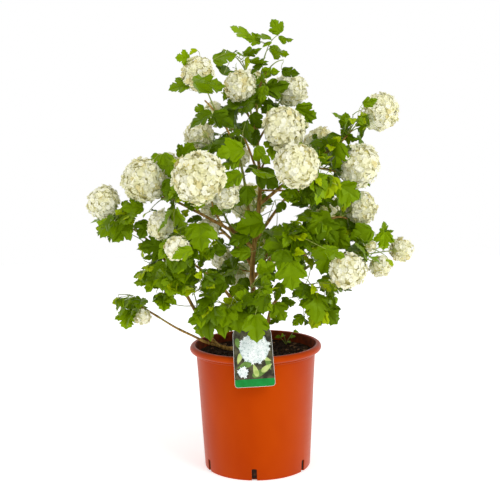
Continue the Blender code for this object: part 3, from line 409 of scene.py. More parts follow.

# Leaves and fine twigs placed by the photograph's pixels. A leaf is its foot, its tip, how
# deep it lies in mm, how far its tip comes forward and how far it rolls in degrees, how
# lobed it is, and its green, which follows how light or dark the leaf looks and so holds
# painted shade and painted light along with its own tint. A twig is its points as pixel and depth.
PLACED_LEAVES = (
    (280, 33, 272, 20, 0, 25, 0, 0.6, 2), (279, 36, 293, 41, 4, 10, 60, 0.6, 1),
    (271, 39, 254, 34, 0, 10, 72, 0.3, 2), (271, 42, 262, 46, -4, 20, 65, 0.3, 1),
    (260, 41, 244, 38, -2, 20, 35, 0.5, 2), (248, 36, 230, 26, -2, 10, 60, 0.8, 1),
    (270, 48, 288, 57, 6, 10, 58, 1.0, 1), (243, 53, 262, 51, 2, 15, 60, 0.2, 2),
    (213, 60, 237, 52, 0, 5, -50, 0.1, 2), (248, 57, 246, 70, -4, 10, 60, 0.0, 0),
    (249, 60, 268, 65, -4, 10, 68, 0.1, 2), (262, 64, 250, 74, -2, 10, 60, 0.2, 3),
    (261, 72, 280, 73, -2, 5, 45, 0.0, 1), (262, 72, 264, 86, -6, 10, 62, 0.0, 2),
    (282, 70, 300, 75, 4, 5, 45, 0.1, 3), (223, 75, 226, 64, 0, -55, 10, 0.7, 3),
    (189, 59, 176, 57, -55, 25, 20, 1.1, 1), (197, 50, 189, 54, -55, 20, 50, 0.2, 0),
    (190, 84, 168, 90, -60, 5, 50, 0.9, 2), (194, 82, 226, 87, -92, 5, 58, 1.1, 2),
    (204, 108, 195, 110, -30, 40, 0, 0.4, 2), (212, 114, 188, 125, -50, 10, 62, 0.6, 3),
    (213, 114, 233, 128, -40, 10, 40, 0.4, 3), (243, 108, 217, 110, -10, 5, 70, 0.5, 3),
    (262, 90, 243, 111, 0, 15, 35, 0.4, 3), (265, 86, 261, 104, -20, 10, 40, 0.1, 2),
    (265, 89, 290, 84, -6, 5, 25, 0.3, 3), (252, 114, 262, 129, -20, 15, 30, 0.5, 3),
    (296, 108, 316, 120, -30, 5, 30, 1.0, 2), (230, 141, 208, 147, 0, 15, 45, 0.5, 3),
    (243, 149, 216, 155, -50, 10, 30, 0.7, 1), (256, 147, 269, 165, -60, 10, 45, 0.4, 1),
    (241, 173, 223, 188, -120, 10, 30, 0.2, 2), (247, 186, 247, 206, -60, 10, 5, 0.2, 3),
    (263, 222, 235, 230, -40, 10, 10, 0.6, 2), (258, 172, 277, 188, -20, 20, 20, 0.3, 3),
    (253, 168, 278, 177, -60, 5, 75, 0.1, 1), (342, 137, 308, 142, -10, 5, 70, 0.3, 3),
    (339, 143, 331, 169, -50, 5, 46, 1.0, 2), (346, 127, 346, 113, 0, 25, 15, 0.5, 2),
    (345, 121, 333, 111, 0, 5, 70, 0.1, 2), (344, 134, 359, 141, -10, 10, 50, 0.4, 2),
    (368, 114, 361, 139, -4, 5, 58, 0.2, 2), (363, 104, 378, 99, -26, 15, 40, 0.3, 2),
    (334, 177, 324, 199, -70, 10, 10, 0.9, 0), (340, 186, 359, 200, -76, 10, 10, 1.0, 2),
    (300, 197, 280, 193, -50, 15, 35, 0.5, 2), (304, 188, 318, 204, -40, 20, 20, 0.8, 3),
    (323, 186, 331, 202, -36, 20, 30, 0.7, 3), (318, 176, 301, 189, -30, 20, 30, 0.6, 3),
    (325, 194, 328, 208, -20, 10, 40, 0.6, 3), (331, 218, 306, 230, -50, 10, 15, 0.9, 2),
    (318, 216, 297, 217, -40, 15, 50, 0.6, 2), (322, 222, 336, 243, -54, 15, 10, 0.8, 3),
    (300, 232, 318, 248, -46, 20, 15, 0.7, 3), (330, 232, 350, 246, -40, 20, 20, 0.8, 2),
    (372, 230, 350, 238, -10, 15, 20, 0.6, 2), (385, 232, 383, 250, -14, 15, 5, 1.0, 1),
    (384, 233, 385, 222, -10, 30, 45, 0.2, 2), (385, 231, 394, 231, -10, 20, 55, 0.0, 2),
    (357, 240, 370, 256, -30, 5, 72, 0.0, 0), (332, 248, 320, 274, -66, 10, 15, 0.9, 2),
    (290, 262, 292, 291, -100, 10, 5, 0.9, 2), (283, 250, 281, 271, -90, 25, 5, 0.5, 3),
    (295, 240, 263, 245, -70, 10, 25, 0.7, 2), (262, 275, 262, 297, -60, 10, 40, 0.3, 3),
    (254, 292, 271, 312, -80, 10, 25, 0.6, 1), (251, 300, 235, 293, -84, 15, 35, 0.4, 1),
    (255, 315, 257, 343, -122, 12, 0, 0.55, 2), (275, 304, 285, 321, -70, 15, 20, 0.8, 2),
    (282, 300, 296, 303, -60, 25, 30, 0.5, 3), (206, 311, 201, 338, -60, 10, 10, 0.9, 2),
    (237, 304, 218, 311, -70, 15, 10, 0.6, 0), (236, 315, 222, 331, -74, 20, 15, 0.7, 2),
    (199, 224, 201, 249, -110, 42, 0, 0.8, 2), (176, 209, 185, 233, -100, 10, 60, 1.2, 1),
    (171, 210, 155, 231, -104, 5, 76, 0.0, 2), (143, 207, 121, 207, -50, 15, 38, 0.7, 2),
    (134, 209, 118, 222, -40, 15, 35, 0.7, 1), (128, 222, 112, 242, -46, 15, 15, 0.7, 2),
    (110, 221, 100, 234, -50, 15, 5, 1.1, 1), (148, 221, 139, 238, -40, 20, 15, 0.6, 3),
    (166, 244, 140, 247, -44, 15, 20, 0.8, 3), (163, 254, 142, 257, -40, 5, 65, 0.4, 2),
    (163, 154, 172, 179, -60, 10, 40, 0.5, 2), (158, 154, 151, 163, -50, 20, 40, 0.4, 2),
    (170, 179, 169, 201, -70, 10, 20, 0.4, 3), (190, 199, 192, 211, -70, 30, 5, 0.4, 3),
    (181, 158, 193, 144, -20, 20, 10, 1.1, 2), (165, 262, 160, 291, -60, 10, 25, 0.6, 2),
    (180, 277, 186, 297, -70, 15, 20, 0.6, 1), (190, 257, 174, 277, -66, 15, 10, 0.7, 3),
    (175, 276, 168, 296, -66, 15, 15, 0.7, 1), (161, 280, 133, 281, -40, 5, 58, 0.9, 1),
    (151, 270, 141, 268, -30, 10, 55, 0.2, 0), (165, 294, 164, 311, -46, 35, 0, 1.2, 1),
    (121, 301, 112, 303, -34, 20, 10, 0.3, 0), (138, 301, 124, 307, -36, 15, 35, 0.6, 1),
    (128, 310, 126, 329, -44, 25, 0, 1.1, 1), (141, 300, 131, 297, -34, 10, 60, 0.2, 2),
    (136, 303, 148, 309, -34, 10, 65, 0.1, 2), (322, 299, 299, 303, -60, 15, 35, 0.5, 1),
    (322, 306, 310, 328, -64, 10, 22, 0.9, 0), (323, 307, 337, 325, -60, 10, 10, 1.1, 3),
    (327, 276, 331, 303, -56, 5, 60, 0.9, 2), (321, 305, 316, 292, -60, 10, 50, 0.2, 0),
    (312, 269, 303, 256, -50, 10, 60, 0.3, 0), (296, 232, 273, 229, -40, 10, 50, 0.7, 2),
    (248, 236, 228, 243, -50, 10, 35, 0.4, 3), (250, 252, 230, 252, -50, 10, 30, 0.5, 2),
    (226, 250, 204, 252, -50, 10, 45, 0.5, 3), (268, 261, 272, 283, -30, 10, 42, 0.4, 3),
    (225, 282, 200, 290, -54, 15, 20, 0.7, 3), (246, 121, 247, 144, -30, 10, 55, 0.3, 3),
    (257, 166, 244, 171, -30, 10, 50, 0.2, 3), (308, 206, 291, 203, -40, 10, 55, 0.3, 3),
    (281, 283, 274, 300, -60, 15, 42, 0.3, 2), (206, 254, 199, 268, -50, 10, 45, 0.4, 2),
    (192, 250, 171, 258, -155, 10, 50, 0.6, 1), (326, 249, 345, 258, -132, 10, 48, 0.6, 2),
    (279, 318, 269, 324, -50, 20, 40, 0.2, 3), (321, 279, 334, 293, -58, 10, 40, 0.5, 0),
    (212, 206, 222, 215, -60, 10, 30, 0.5, 2), (202, 219, 186, 221, -40, 15, 58, 0.3, 3),
    (238, 158, 220, 166, -60, 10, 45, 0.5, 2), (303, 316, 292, 325, -60, 10, 30, 0.6, 2),
    (350, 118, 344, 131, -4, 15, 50, 0.4, 3), (284, 202, 276, 213, -30, 15, 40, 0.3, 3),
    (257, 130, 252, 147, -12, 10, 42, 0.4, 3), (241, 131, 229, 135, -30, 10, 48, 0.4, 3),
)
PLACED_TWIGS = (
    ((262, 72, 0), (263, 62, 0), (266, 52, 2), (270, 48, 4)),
    ((262, 66, 2), (265, 56, 4), (268, 47, 2), (272, 40, 2), (279, 34, 2)),
    ((246, 122, -30), (242, 136, -36), (240, 155, -40), (238, 174, -44)),
    ((257, 258, -6), (259, 246, -14), (264, 229, -20), (270, 213, -22), (275, 200, -22)),
    ((275, 232, -14), (277, 222, -12), (277, 212, -12), (275, 200, -16)),
    ((297, 297, -50), (302, 290, -56), (308, 279, -58), (311, 267, -58)),
    ((251, 220, -4), (240, 214, -10), (232, 208, -16)),
    ((261, 216, -4), (267, 213, -8), (273, 210, -12)),
    ((197, 306, -30), (184, 306, -38), (172, 304, -44)),
    ((152, 248, -34), (140, 239, -34), (127, 232, -36)),
)
# Where the crown ends, and ovals in it that stay open to the sky or to what lies behind,
# in the photograph's pixels
CROWN_EDGE = (
    (272, 18), (282, 26), (283, 34), (295, 39), (293, 45), (284, 46), (291, 56), (290, 63),
    (283, 65), (291, 65), (302, 75), (309, 86), (309, 98), (306, 107), (316, 109), (320, 121),
    (313, 127), (307, 134), (326, 132), (340, 134), (340, 122), (331, 110), (345, 111),
    (353, 117), (361, 105), (368, 95), (382, 90), (394, 98), (399, 112), (393, 128), (382, 133),
    (370, 128), (366, 136), (361, 141), (358, 141), (372, 143), (381, 156), (382, 172),
    (376, 185), (366, 190), (372, 204), (373, 224), (385, 220), (396, 230), (395, 240),
    (404, 233), (411, 250), (406, 267), (388, 276), (371, 279), (365, 264), (363, 280),
    (352, 291), (340, 292), (336, 303), (343, 305), (342, 315), (338, 328), (317, 324),
    (309, 333), (300, 323), (288, 330), (275, 326), (262, 345), (240, 343), (236, 333),
    (225, 335), (214, 330), (206, 339), (196, 339), (189, 322), (184, 305), (176, 305),
    (168, 313), (155, 311), (151, 324), (140, 325), (137, 319), (131, 330), (121, 329),
    (115, 318), (118, 309), (107, 303), (112, 297), (143, 295), (151, 303), (146, 288),
    (131, 285), (131, 276), (141, 272), (140, 266), (150, 262), (139, 258), (139, 251),
    (128, 240), (110, 245), (102, 238), (95, 231), (89, 210), (87, 195), (94, 184),
    (108, 182), (119, 192), (119, 176), (126, 160), (140, 154), (160, 151), (180, 149),
    (183, 142), (183, 132), (187, 119), (197, 114), (194, 106), (205, 103), (198, 94),
    (168, 92), (167, 88), (172, 82), (182, 81), (182, 63), (175, 60), (175, 51), (188, 49),
    (198, 48), (208, 58), (218, 51), (230, 48), (243, 50), (246, 46), (242, 37), (235, 35),
    (235, 30), (228, 26), (232, 24), (250, 31), (262, 34), (268, 28), (266, 22),
)
OPEN_SKY = (
    (228, 112, 8, 3), (245, 116, 5, 5), (220, 131, 9, 5), (258, 132, 5, 2), (253, 154, 4, 7),
    (250, 164, 4, 5), (264, 167, 4, 4), (231, 171, 4, 3), (245, 182, 4, 5), (251, 179, 3, 6),
    (262, 186, 3, 6), (269, 190, 3, 5), (277, 194, 3, 6), (265, 198, 2, 3), (297, 186, 8, 2),
    (306, 142, 3, 5), (324, 170, 5, 5), (268, 210, 4, 6), (290, 216, 9, 5), (305, 208, 4, 3),
    (318, 209, 6, 4), (336, 211, 6, 3), (240, 212, 9, 4), (225, 217, 12, 4), (247, 247, 6, 3),
    (244, 262, 5, 2), (269, 266, 4, 3), (285, 251, 6, 2), (306, 280, 5, 10), (290, 295, 6, 3),
    (283, 300, 2, 3), (299, 313, 6, 4), (280, 326, 9, 4), (225, 298, 3, 4), (200, 292, 4, 5),
    (197, 262, 3, 3), (195, 280, 3, 6), (209, 262, 5, 4), (155, 252, 5, 2), (157, 203, 9, 4),
    (180, 205, 6, 4), (195, 217, 8, 3), (132, 228, 4, 3), (144, 218, 4, 3), (187, 299, 2, 3),
    (174, 154, 5, 4), (354, 130, 4, 3), (373, 245, 4, 2), (355, 245, 5, 2), (343, 220, 2, 3),
    (230, 20, 8, 4), (262, 27, 4, 4), (276, 44, 4, 4), (240, 62, 4, 6), (272, 58, 4, 5),
    (205, 52, 6, 4), (218, 97, 4, 6), (222, 101, 12, 3), (200, 117, 6, 3), (322, 127, 14, 5),
    (356, 128, 4, 6), (358, 112, 3, 7), (308, 102, 6, 3), (148, 205, 6, 4), (168, 205, 7, 3),
    (198, 210, 7, 4), (230, 221, 9, 3), (265, 216, 3, 7), (284, 222, 5, 2), (271, 226, 3, 4),
    (312, 272, 6, 9), (323, 291, 5, 8), (374, 253, 10, 4), (394, 240, 6, 8), (392, 256, 9, 4),
    (148, 291, 4, 6), (178, 298, 7, 4), (136, 285, 6, 3), (316, 328, 9, 4), (190, 317, 3, 6),
    (215, 268, 5, 2), (375, 268, 6, 8), (200, 258, 4, 2), (257, 111, 3, 5), (244, 208, 5, 5),
)
OPEN_IN_FRONT = (
    (256, 238, 9, 18), (254, 280, 8, 15), (251, 213, 5, 8), (260, 204, 6, 7), (231, 294, 8, 12),
    (222, 282, 6, 7), (279, 300, 8, 13), (268, 316, 6, 6), (205, 102, 5, 14), (222, 134, 5, 10),
    (190, 303, 6, 8), (212, 118, 5, 8), (239, 292, 5, 7), (252, 262, 6, 6),
    (221, 262, 9, 8), (242, 278, 7, 11), (345, 172, 12, 14), (166, 222, 9, 12), (108, 204, 10, 9),
    (199, 141, 10, 5), (160, 290, 6, 4), (358, 215, 6, 9), (160, 180, 6, 9), (228, 190, 10, 5),
)
PLACED_DROOP = 0.4
PLACED_STALK_LEAD = 0.35
PLACED_STALK_PULL = 0.8
IN_FRONT = -5 * MM
CREST_FOOT = 104
CREST_BACK = 40 * MM
BALL_SHOWN = 0.95
BACK_BALL_SHOWN = 0.75
BALL_SEEN_WHOLE_TO = 50 * MM
BALL_SEEN_TO = 95 * MM

# Seedling in the soil: its place, and its stems' leans, heights, leaf lengths and greens
SPROUT_PLACE = (51 * MM, 62 * MM)
SPROUT_STEMS = ((-9, -3, 13, 10, 2), (-3, -6, 17, 9, 1), (7, -4, 15, 10, 2), (13, 0, 22, 9, 1),
                (3, -9, 8, 8, 2))
SPROUT_BEND_AT = 0.4
SPROUT_ARCH = 0.2
SPROUT_LIFT = 2
SPROUT_FACE = Vector((0, -0.6, 1))

# Flower balls: florets of five petals stand round a heart of thin green stalks
BALL_FLATTENING = 0.93
FLORET_RADII = (3.2 * MM, 4.5 * MM)
SMALL_BALL = 12 * MM
LARGE_BALL = 37 * MM
FLORET_COVER = 0.46
FLORET_TILT = 0.6
FLORET_SINK = 0.93
FLORET_SWAY = 0.12
FLORET_SIZES = (0.82, 1.08)
FLORET_DEPTHS = (-2.4, 1.6)
BALL_LUMPS = 0.15
LUMP_SCALES = ((2.4, 1), (6, 0.6))
LUMP_SHIFT = 9
BALL_OPENING = math.radians(26)
HEART_SHARE = 0.9
HEART_FLATTENING = 0.86
RAYS = 9
RAY_PARTS = 3
RAY_RADII = (0.55 * MM, 0.35 * MM)
RAY_REACHES = (0.62, 0.8)
RAY_FOOT = 0.82
RAY_SWAY = 0.2
RAY_DROP = 0.42
RAY_ARCH = 0.08
PETALS = 5
PETAL_GLOW = 0.18
PETAL_WIDTHS = (0.12, 0.52, 0.4)
PETAL_FOOT = 0.04
PETAL_ROUNDING = 0.13
PETAL_RISE = 0.75
PETAL_FALL = 0.25
PETAL_ARCH = 0.2
PETAL_CUPS = (-0.5, 1.4)

# Whites: a floret takes one by chance, by its ball's age and by where it stands
WHITES = (("white", "FEFDE8"), ("cream", "FAF8D6"), ("green_white", "F0EEC2"),
          ("faded", "E6DCA0"))
WHITE_LIMITS = (0.6, 0.18, -0.12)
WHITE_PATCH = 14 * MM
WHITE_SHIFT = 50
AGE_PULL = 0.4
PATCH_PULL = 0.8

CAMERA_PLACE = (-6 * MM, -1500 * MM, 536 * MM)
CAMERA_DOWN = math.radians(7.15)
CAMERA_ROLL = math.radians(-1.1)
CAMERA_LENS = 68.76
CAMERA_SENSOR = 36
PHOTO_SIDE = 500
FLOOR_RADIUS = 2.6
SOFTBOXES = (("key softbox", (1.5, -1.8, 1.9), 26), ("fill softbox", (-2.0, -1.2, 1.5), 5))
SOFTBOX_SIZE = 1.2
SOFTBOX_AIM = Vector((0, 0, 0.35))


def linear(code):
    """Linear red, green, blue and alpha from an sRGB hex colour."""
    shares = [int(code[i:i + 2], 16) / 255 for i in (0, 2, 4)]
    return (*(s / 12.92 if s <= 0.04045 else ((s + 0.055) / 1.055) ** 2.4 for s in shares), 1)


def feed(node, inputs):
    """Give a node's inputs their numbers, colours or links from other nodes' outputs."""
    for name, value in inputs.items():
        if isinstance(value, bpy.types.NodeSocket):
            node.id_data.links.new(value, node.inputs[name])
        else:
            node.inputs[name].default_value = value


def add(tree, kind, inputs=None, stops=(), **settings):
    """Add a node with its settings, its inputs and, on a colour ramp, its hex stops."""
    node = tree.nodes.new(kind)
    for name, value in settings.items():
        setattr(node, name, value)
    feed(node, inputs or {})
    if stops:
        elements = node.color_ramp.elements
        while len(elements) < len(stops):
            elements.new(0.5)
        for element, (place, code) in zip(elements, stops):
            element.position = place
            element.color = linear(code)
    return node


def grain(tree, size, detail=3.0, stretch=(1, 1, 1)):
    """Noise whose blotches are about a size in metres across, stretched along an axis."""
    place = add(tree, "ShaderNodeTexCoord").outputs["Object"]
    scaled = add(tree, "ShaderNodeMapping", {"Vector": place, "Scale": stretch})
    inputs = {"Vector": scaled.outputs["Vector"], "Scale": 1 / size, "Detail": detail,
              "Roughness": GRAIN_ROUGHNESS}
    return add(tree, "ShaderNodeTexNoise", inputs).outputs["Fac"]


def surface(name):
    """A material, its node tree and its one Principled shader."""
    made = bpy.data.materials.new(name)
    made.use_nodes = True
    return made, made.node_tree, made.node_tree.nodes["Principled BSDF"]


def mottled(name, stops, inputs, size, **pattern):
    """A material whose colour wanders through stops by a noise of about a size."""
    made, tree, shader = surface(name)
    colour = add(tree, "ShaderNodeValToRGB", {"Fac": grain(tree, size, **pattern)}, stops)
    feed(shader, {"Base Color": colour.outputs["Color"], **inputs})
    return made


def pot_plastic():
    """Injection moulded polypropylene: an even satin orange with faint flow marks and scuffs."""
    made, tree, shader = surface("moulded polypropylene")
    cloud = grain(tree, 70 * MM, detail=2.0, stretch=(1, 1, 0.5))
    colour = add(tree, "ShaderNodeValToRGB", {"Fac": cloud}, ((0.35, "AE3900"), (0.65, "B84100")))
    scuffs = {"Value": grain(tree, 9 * MM, detail=5.0, stretch=(0.3, 0.3, 3.0)), **NOISE_SPAN}
    satin = add(tree, "ShaderNodeMapRange", {**scuffs, "To Min": 0.36, "To Max": 0.46})
    pitted = {"Height": grain(tree, 1.2 * MM, detail=2.0), "Distance": 0.03 * MM}
    feed(shader, {
        "Base Color": colour.outputs["Color"], "Roughness": satin.outputs["Result"],
        "Normal": add(tree, "ShaderNodeBump", pitted).outputs["Normal"], "IOR": 1.49,
        "Specular IOR Level": 0.08, "Specular Tint": linear("FF9A30"), "Sheen Weight": 0.22,
        "Sheen Roughness": 0.4})
    return made


def stained_shaded_plastic():
    """The pot's inner wall above the soil: dull, blotchy dark brown, peat stain with painted
    shade.
    """
    return mottled("peat-stained polypropylene with painted shade", ((0.35, "56240E"), (0.65, "84360F")),
                   {"Specular IOR Level": 0.1, "Roughness": 0.75}, 12 * MM, detail=5.0)


def soil_earth():
    """Moist peat and composted bark: nearly black, with brown fibres and no shine."""
    made = mottled("peat and bark potting mix",
                   ((0.3, "1C120A"), (0.5, "2E1C10"), (0.72, "54371F")),
                   {"Specular IOR Level": 0.25, "Roughness": 0.92}, 5 * MM, detail=6.0)
    tree = made.node_tree
    crumbly = {"Height": grain(tree, 1.6 * MM, detail=4.0), "Distance": 0.8 * MM}
    bump = add(tree, "ShaderNodeBump", crumbly)
    feed(tree.nodes["Principled BSDF"], {"Normal": bump.outputs["Normal"]})
    return made


def chip_wood():
    """Broken composted bark: dull brown, fibrous along its length."""
    return mottled("composted bark chip", ((0.35, "4A2F1B"), (0.65, "8A6440")),
                   {"Roughness": 0.85}, 2.5 * MM, detail=4.0)


def perlite():
    """Expanded volcanic glass: small dull white grains."""
    return mottled("expanded perlite", ((0.35, "B9B5A8"), (0.65, "E6E3DA")),
                   {"Roughness": 0.8}, 1 * MM)


def woody_bark():
    """Young viburnum bark: grey-brown skin split lengthwise, still green towards its tips."""
    made, tree, shader = surface("young viburnum bark")
    split = grain(tree, 4 * MM, detail=5.0, stretch=(1, 1, 0.16))
    old, young = (
        add(tree, "ShaderNodeValToRGB", {"Fac": split}, stops).outputs["Color"]
        for stops in (((0.3, "5C4416"), (0.48, "94702E"), (0.7, "C8A45A")),
                      ((0.35, "6F7428"), (0.65, "9AA048"))))
    green = add(tree, "ShaderNodeAttribute", attribute_name="young").outputs["Fac"]
    colour = add(tree, "ShaderNodeMix", {"Factor": green, "A": old, "B": young}, data_type="RGBA")
    bump = add(tree, "ShaderNodeBump", {"Height": split, "Distance": 0.5 * MM})
    feed(shader, {"Base Color": colour.outputs["Result"], "Roughness": 0.72,
                  "Specular IOR Level": 0.25, "Normal": bump.outputs["Normal"]})
    return made


def green_shoot(name, dark, pale):
    """The green skin of a young shoot or leaf stalk, waxy, with faint streaks."""
    return mottled(name, ((0.35, dark), (0.65, pale)),
                   {"Specular IOR Level": 0.45, "Roughness": 0.5}, 5 * MM, stretch=(1, 1, 0.3))


def leaf_skin(name, code):
    """A lobed leaf's upper skin: one plain green, a soft wax sheen and puckers by its veins."""
    made, tree, shader = surface(name)
    patchy = {"Value": grain(tree, 12 * MM, detail=2.0), **NOISE_SPAN}
    wax = add(tree, "ShaderNodeMapRange", {**patchy, "To Min": 0.28, "To Max": 0.42})
    bump = add(tree, "ShaderNodeBump", {"Height": grain(tree, 4 * MM), "Distance": 0.5 * MM})
    feed(shader, {"Base Color": linear(code), "IOR": 1.45, "Specular IOR Level": 0.5,
                  "Specular Tint": linear("B6E05A"), "Roughness": wax.outputs["Result"],
                  "Normal": bump.outputs["Normal"]})
    return made


def petal_skin(name, code):
    """Thin white petals: matt, a little veined, and lit through by their neighbours."""
    made, tree, shader = surface(name)
    vein = grain(tree, 2.5 * MM)
    matt = add(tree, "ShaderNodeMapRange",
               {"Value": vein, **NOISE_SPAN, "To Min": 0.55, "To Max": 0.75})
    bump = add(tree, "ShaderNodeBump", {"Height": vein, "Distance": 0.35 * MM})
    feed(shader, {"Base Color": linear(code), "IOR": 1.4, "Specular IOR Level": 0.25,
                  "Sheen Weight": 0.15, "Roughness": matt.outputs["Result"],
                  "Normal": bump.outputs["Normal"]})
    through = add(tree, "ShaderNodeBsdfTranslucent", {"Color": linear(code)})
    both = add(tree, "ShaderNodeMixShader", {"Fac": PETAL_GLOW, 1: shader.outputs["BSDF"],
                                             2: through.outputs["BSDF"]})
    feed(tree.nodes["Material Output"], {"Surface": both.outputs["Shader"]})
    return made


def plain_print(name, code, second):
    """Ink on a glossy plastic card, in two close shades as a soft printed ground has."""
    return mottled(name, ((0.4, code), (0.6, second)),
                   {"Roughness": 0.35, "Specular IOR Level": 0.2}, 9 * MM)


def smooth_line(points, step):
    """Points about a step apart on the Catmull-Rom curve through the given ones."""
    ends = [2 * points[0] - points[1], *points, 2 * points[-1] - points[-2]]
    line = [points[0]]
    for a, b, c, d in zip(ends, ends[1:], ends[2:], ends[3:]):
        parts = max(1, round((c - b).length / step))
        for part in range(1, parts + 1):
            t = part / parts
            straight = 2 * b + (c - a) * t
            square = (2 * a - 5 * b + 4 * c - d) * t ** 2
            cube = (3 * b - a - 3 * c + d) * t ** 3
            line.append(0.5 * (straight + square + cube))
    return line


def bend_line(start, control, end, parts):
    """Points on the bent line from start to end that is pulled towards a control point."""
    shares = [part / parts for part in range(parts + 1)]
    return [(1 - t) ** 2 * start + 2 * t * (1 - t) * control + t ** 2 * end for t in shares]


def along(line, share):
    """The point at a share of a line's length, and the line's direction there."""
    lengths = [(b - a).length for a, b in zip(line, line[1:])]
    left = share * sum(lengths)
    for a, b, length in zip(line, line[1:], lengths):
        if left <= length + ROUNDING:
            break
        left -= length
    direction = (b - a).normalized()
    return a + direction * min(left, length), direction


def taper(foot, tip, count):
    """Radii that fall evenly from foot to tip."""
    return [foot + (tip - foot) * i / (count - 1) for i in range(count)]


def wild_way(rng):
    """A seeded random vector with each share between -1 and 1."""
    return Vector([rng.uniform(-1, 1) for _ in range(3)])


def camera_place():
    """The camera's matrix at the photograph's view."""
    tilt = Matrix.Rotation(math.pi / 2 - CAMERA_DOWN, 4, "X")
    return Matrix.Translation(CAMERA_PLACE) @ tilt @ Matrix.Rotation(CAMERA_ROLL, 4, "Z")


EYE = camera_place()
FROM_EYE = np.array(EYE.inverted())
FOCAL_PIXELS = CAMERA_LENS / CAMERA_SENSOR * PHOTO_SIDE


def shown_at(across, down, depth):
    """The place at a depth along y that the photograph shows at a pixel."""
    half = PHOTO_SIDE / 2
    ray = EYE.to_3x3() @ Vector((across - half, half - down, -FOCAL_PIXELS))
    return EYE.translation + ray * ((depth - EYE.translation.y) / ray.y)


def pixels_of(points):
    """The pixels at which the photograph shows points, one row for each."""
    x, y, z = (np.array(points) @ FROM_EYE[:3, :3].T + FROM_EYE[:3, 3]).T
    return PHOTO_SIDE / 2 + FOCAL_PIXELS * np.stack([-x / z, y / z], axis=1)


def in_crown(spots):
    """Whether all pixels lie inside the crown's edge."""
    ax, ay = np.array(CROWN_EDGE).T
    bx, by = np.roll(ax, -1), np.roll(ay, -1)
    across, down = spots[:, :1], spots[:, 1:]
    spans = (ay > down) != (by > down)
    rise = np.where(by == ay, 1, by - ay)
    crossed = spans & (across < (bx - ax) * (down - ay) / rise + ax)
    return bool((np.count_nonzero(crossed, axis=1) % 2).all())


def in_ovals(spots, ovals):
    """Whether any pixel lies in one of the ovals."""
    x, y, wide, high = np.array(ovals).T
    return bool((((spots[:, :1] - x) / wide) ** 2 + ((spots[:, 1:] - y) / high) ** 2 < 1).any())


def grow_limbs():
    """The lines and radii of the trunk and boughs, each from a point on its parent."""
    limbs = {}
    for name, (parent, share, foot, tip, way) in LIMBS.items():
        points = [Vector(point) * MM for point in way]
        if parent:
            points.insert(0, along(limbs[parent]["line"], share)[0])
        line = smooth_line(points, LIMB_STEP)
        radii = taper(foot * MM, tip * MM, len(line))
        if not parent:
            line[1:1] = [line[0].lerp(line[1], share) for share in ROOT_FLARE_RINGS]
            radii[1:1] = [radii[0]] * len(ROOT_FLARE_RINGS)
            flare = [math.exp((line[0].z - point.z) / ROOT_FLARE_HEIGHT) for point in line]
            radii = [radius * (1 + ROOT_FLARE * more) for radius, more in zip(radii, flare)]
        limbs[name] = {"line": line, "radii": radii, "parent": parent}
    return limbs


class Space:
    """Round samples of everything that has grown, each with its owner."""

    def __init__(self):
        self.points = np.zeros((0, 3))
        self.radii = np.zeros(0)
        self.owners = np.zeros(0, dtype=object)

    def add(self, owner, points, radii):
        """Note what an owner has grown."""
        self.points = np.vstack([self.points, np.array([tuple(point) for point in points])])
        self.radii = np.concatenate([self.radii, radii])
        self.owners = np.concatenate([self.owners, [owner] * len(points)])

    def is_clear(self, points, radius, ignored):
        """Whether points with a radius round them touch nothing but the ignored owners."""
        others = ~np.isin(self.owners, list(ignored))
        here = np.array([tuple(point) for point in points])
        away = np.linalg.norm(here[:, None, :] - self.points[None, others, :], axis=2)
        return bool((away - self.radii[others] - radius).min() > 0)


def sampled(line, radii):
    """Samples along a tapered line, close enough together to feel another one cross."""
    points = []
    sizes = []
    for a, b, near, far in zip(line, line[1:], radii, radii[1:]):
        parts = max(1, math.ceil((b - a).length / SAMPLE_STEP))
        for part in range(parts + 1):
            points.append(a.lerp(b, part / parts))
            sizes.append(near + (far - near) * part / parts)
    return points, sizes


def outward(point):
    """The level direction away from the crown's axis."""
    level = Vector((point.x, point.y, 0))
    return level.normalized() if level.length > MM else Vector((0, -1, 0))


def grow_stem(mass, limbs, space):
    """The stem of a mass, from its limb's tip or side towards the mass's centre."""
    limb_name, share, _, centre, _, _ = MASSES[mass]
    limb = limbs[limb_name]
    start, direction = along(limb["line"], share)
    end = start.lerp(Vector(centre) * MM, STEM_SHARE)
    length = (end - start).length
    at_tip = share == 1.0
    lean = direction
    if not at_tip:
        lean = ((end - start).normalized() + STEM_LEAN * direction).normalized()
    foot = limb["radii"][-1] if at_tip else STEM_RADIUS
    rng = random.Random(mass)
    for attempt in range(BEND_TRIES):
        wild = wild_way(rng) * BEND_MORE * attempt * length
        control = start + lean * STEM_PULL * length + (Vector() if at_tip else wild)
        line = bend_line(start, control, end + wild, STEM_PARTS)
        radii = taper(foot, STEM_TIP_RADIUS, len(line))
        points, sizes = sampled(line, radii)
        if space.is_clear(points, np.array(sizes)[:, None] + TWIG_CLEARANCE, {limb_name}):
            break
    fine = bend_line(start, control, end + wild, FINE_PARTS)
    return {"line": line, "radii": radii, "fine": fine}


def grow_shoot(key, stem, start_share, ends, space, ignored):
    """A shoot from the stem to the first of the ends, and by the first bend, that is clear."""
    rng = random.Random(key)
    start, direction = along(stem["line"], start_share)
    for attempt, end in enumerate(ends):
        length = (end - start).length
        sway = (SHOOT_SWAY + BEND_MORE * attempt) * wild_way(rng)
        pull = SHOOT_AHEAD * direction + SHOOT_RISE * UP + sway
        control = start.lerp(end, SHOOT_BEND_AT) + pull * length
        line = bend_line(start, control, end, SHOOT_PARTS)
        radii = taper(SHOOT_FOOT_RADIUS, SHOOT_TIP_RADIUS, len(line))
        points, sizes = sampled(line, radii)
        if space.is_clear(points, np.array(sizes)[:, None] + TWIG_CLEARANCE, ignored):
            fine = bend_line(start, control, end, FINE_PARTS)
            return {"line": line, "radii": radii, "fine": fine}
    return None


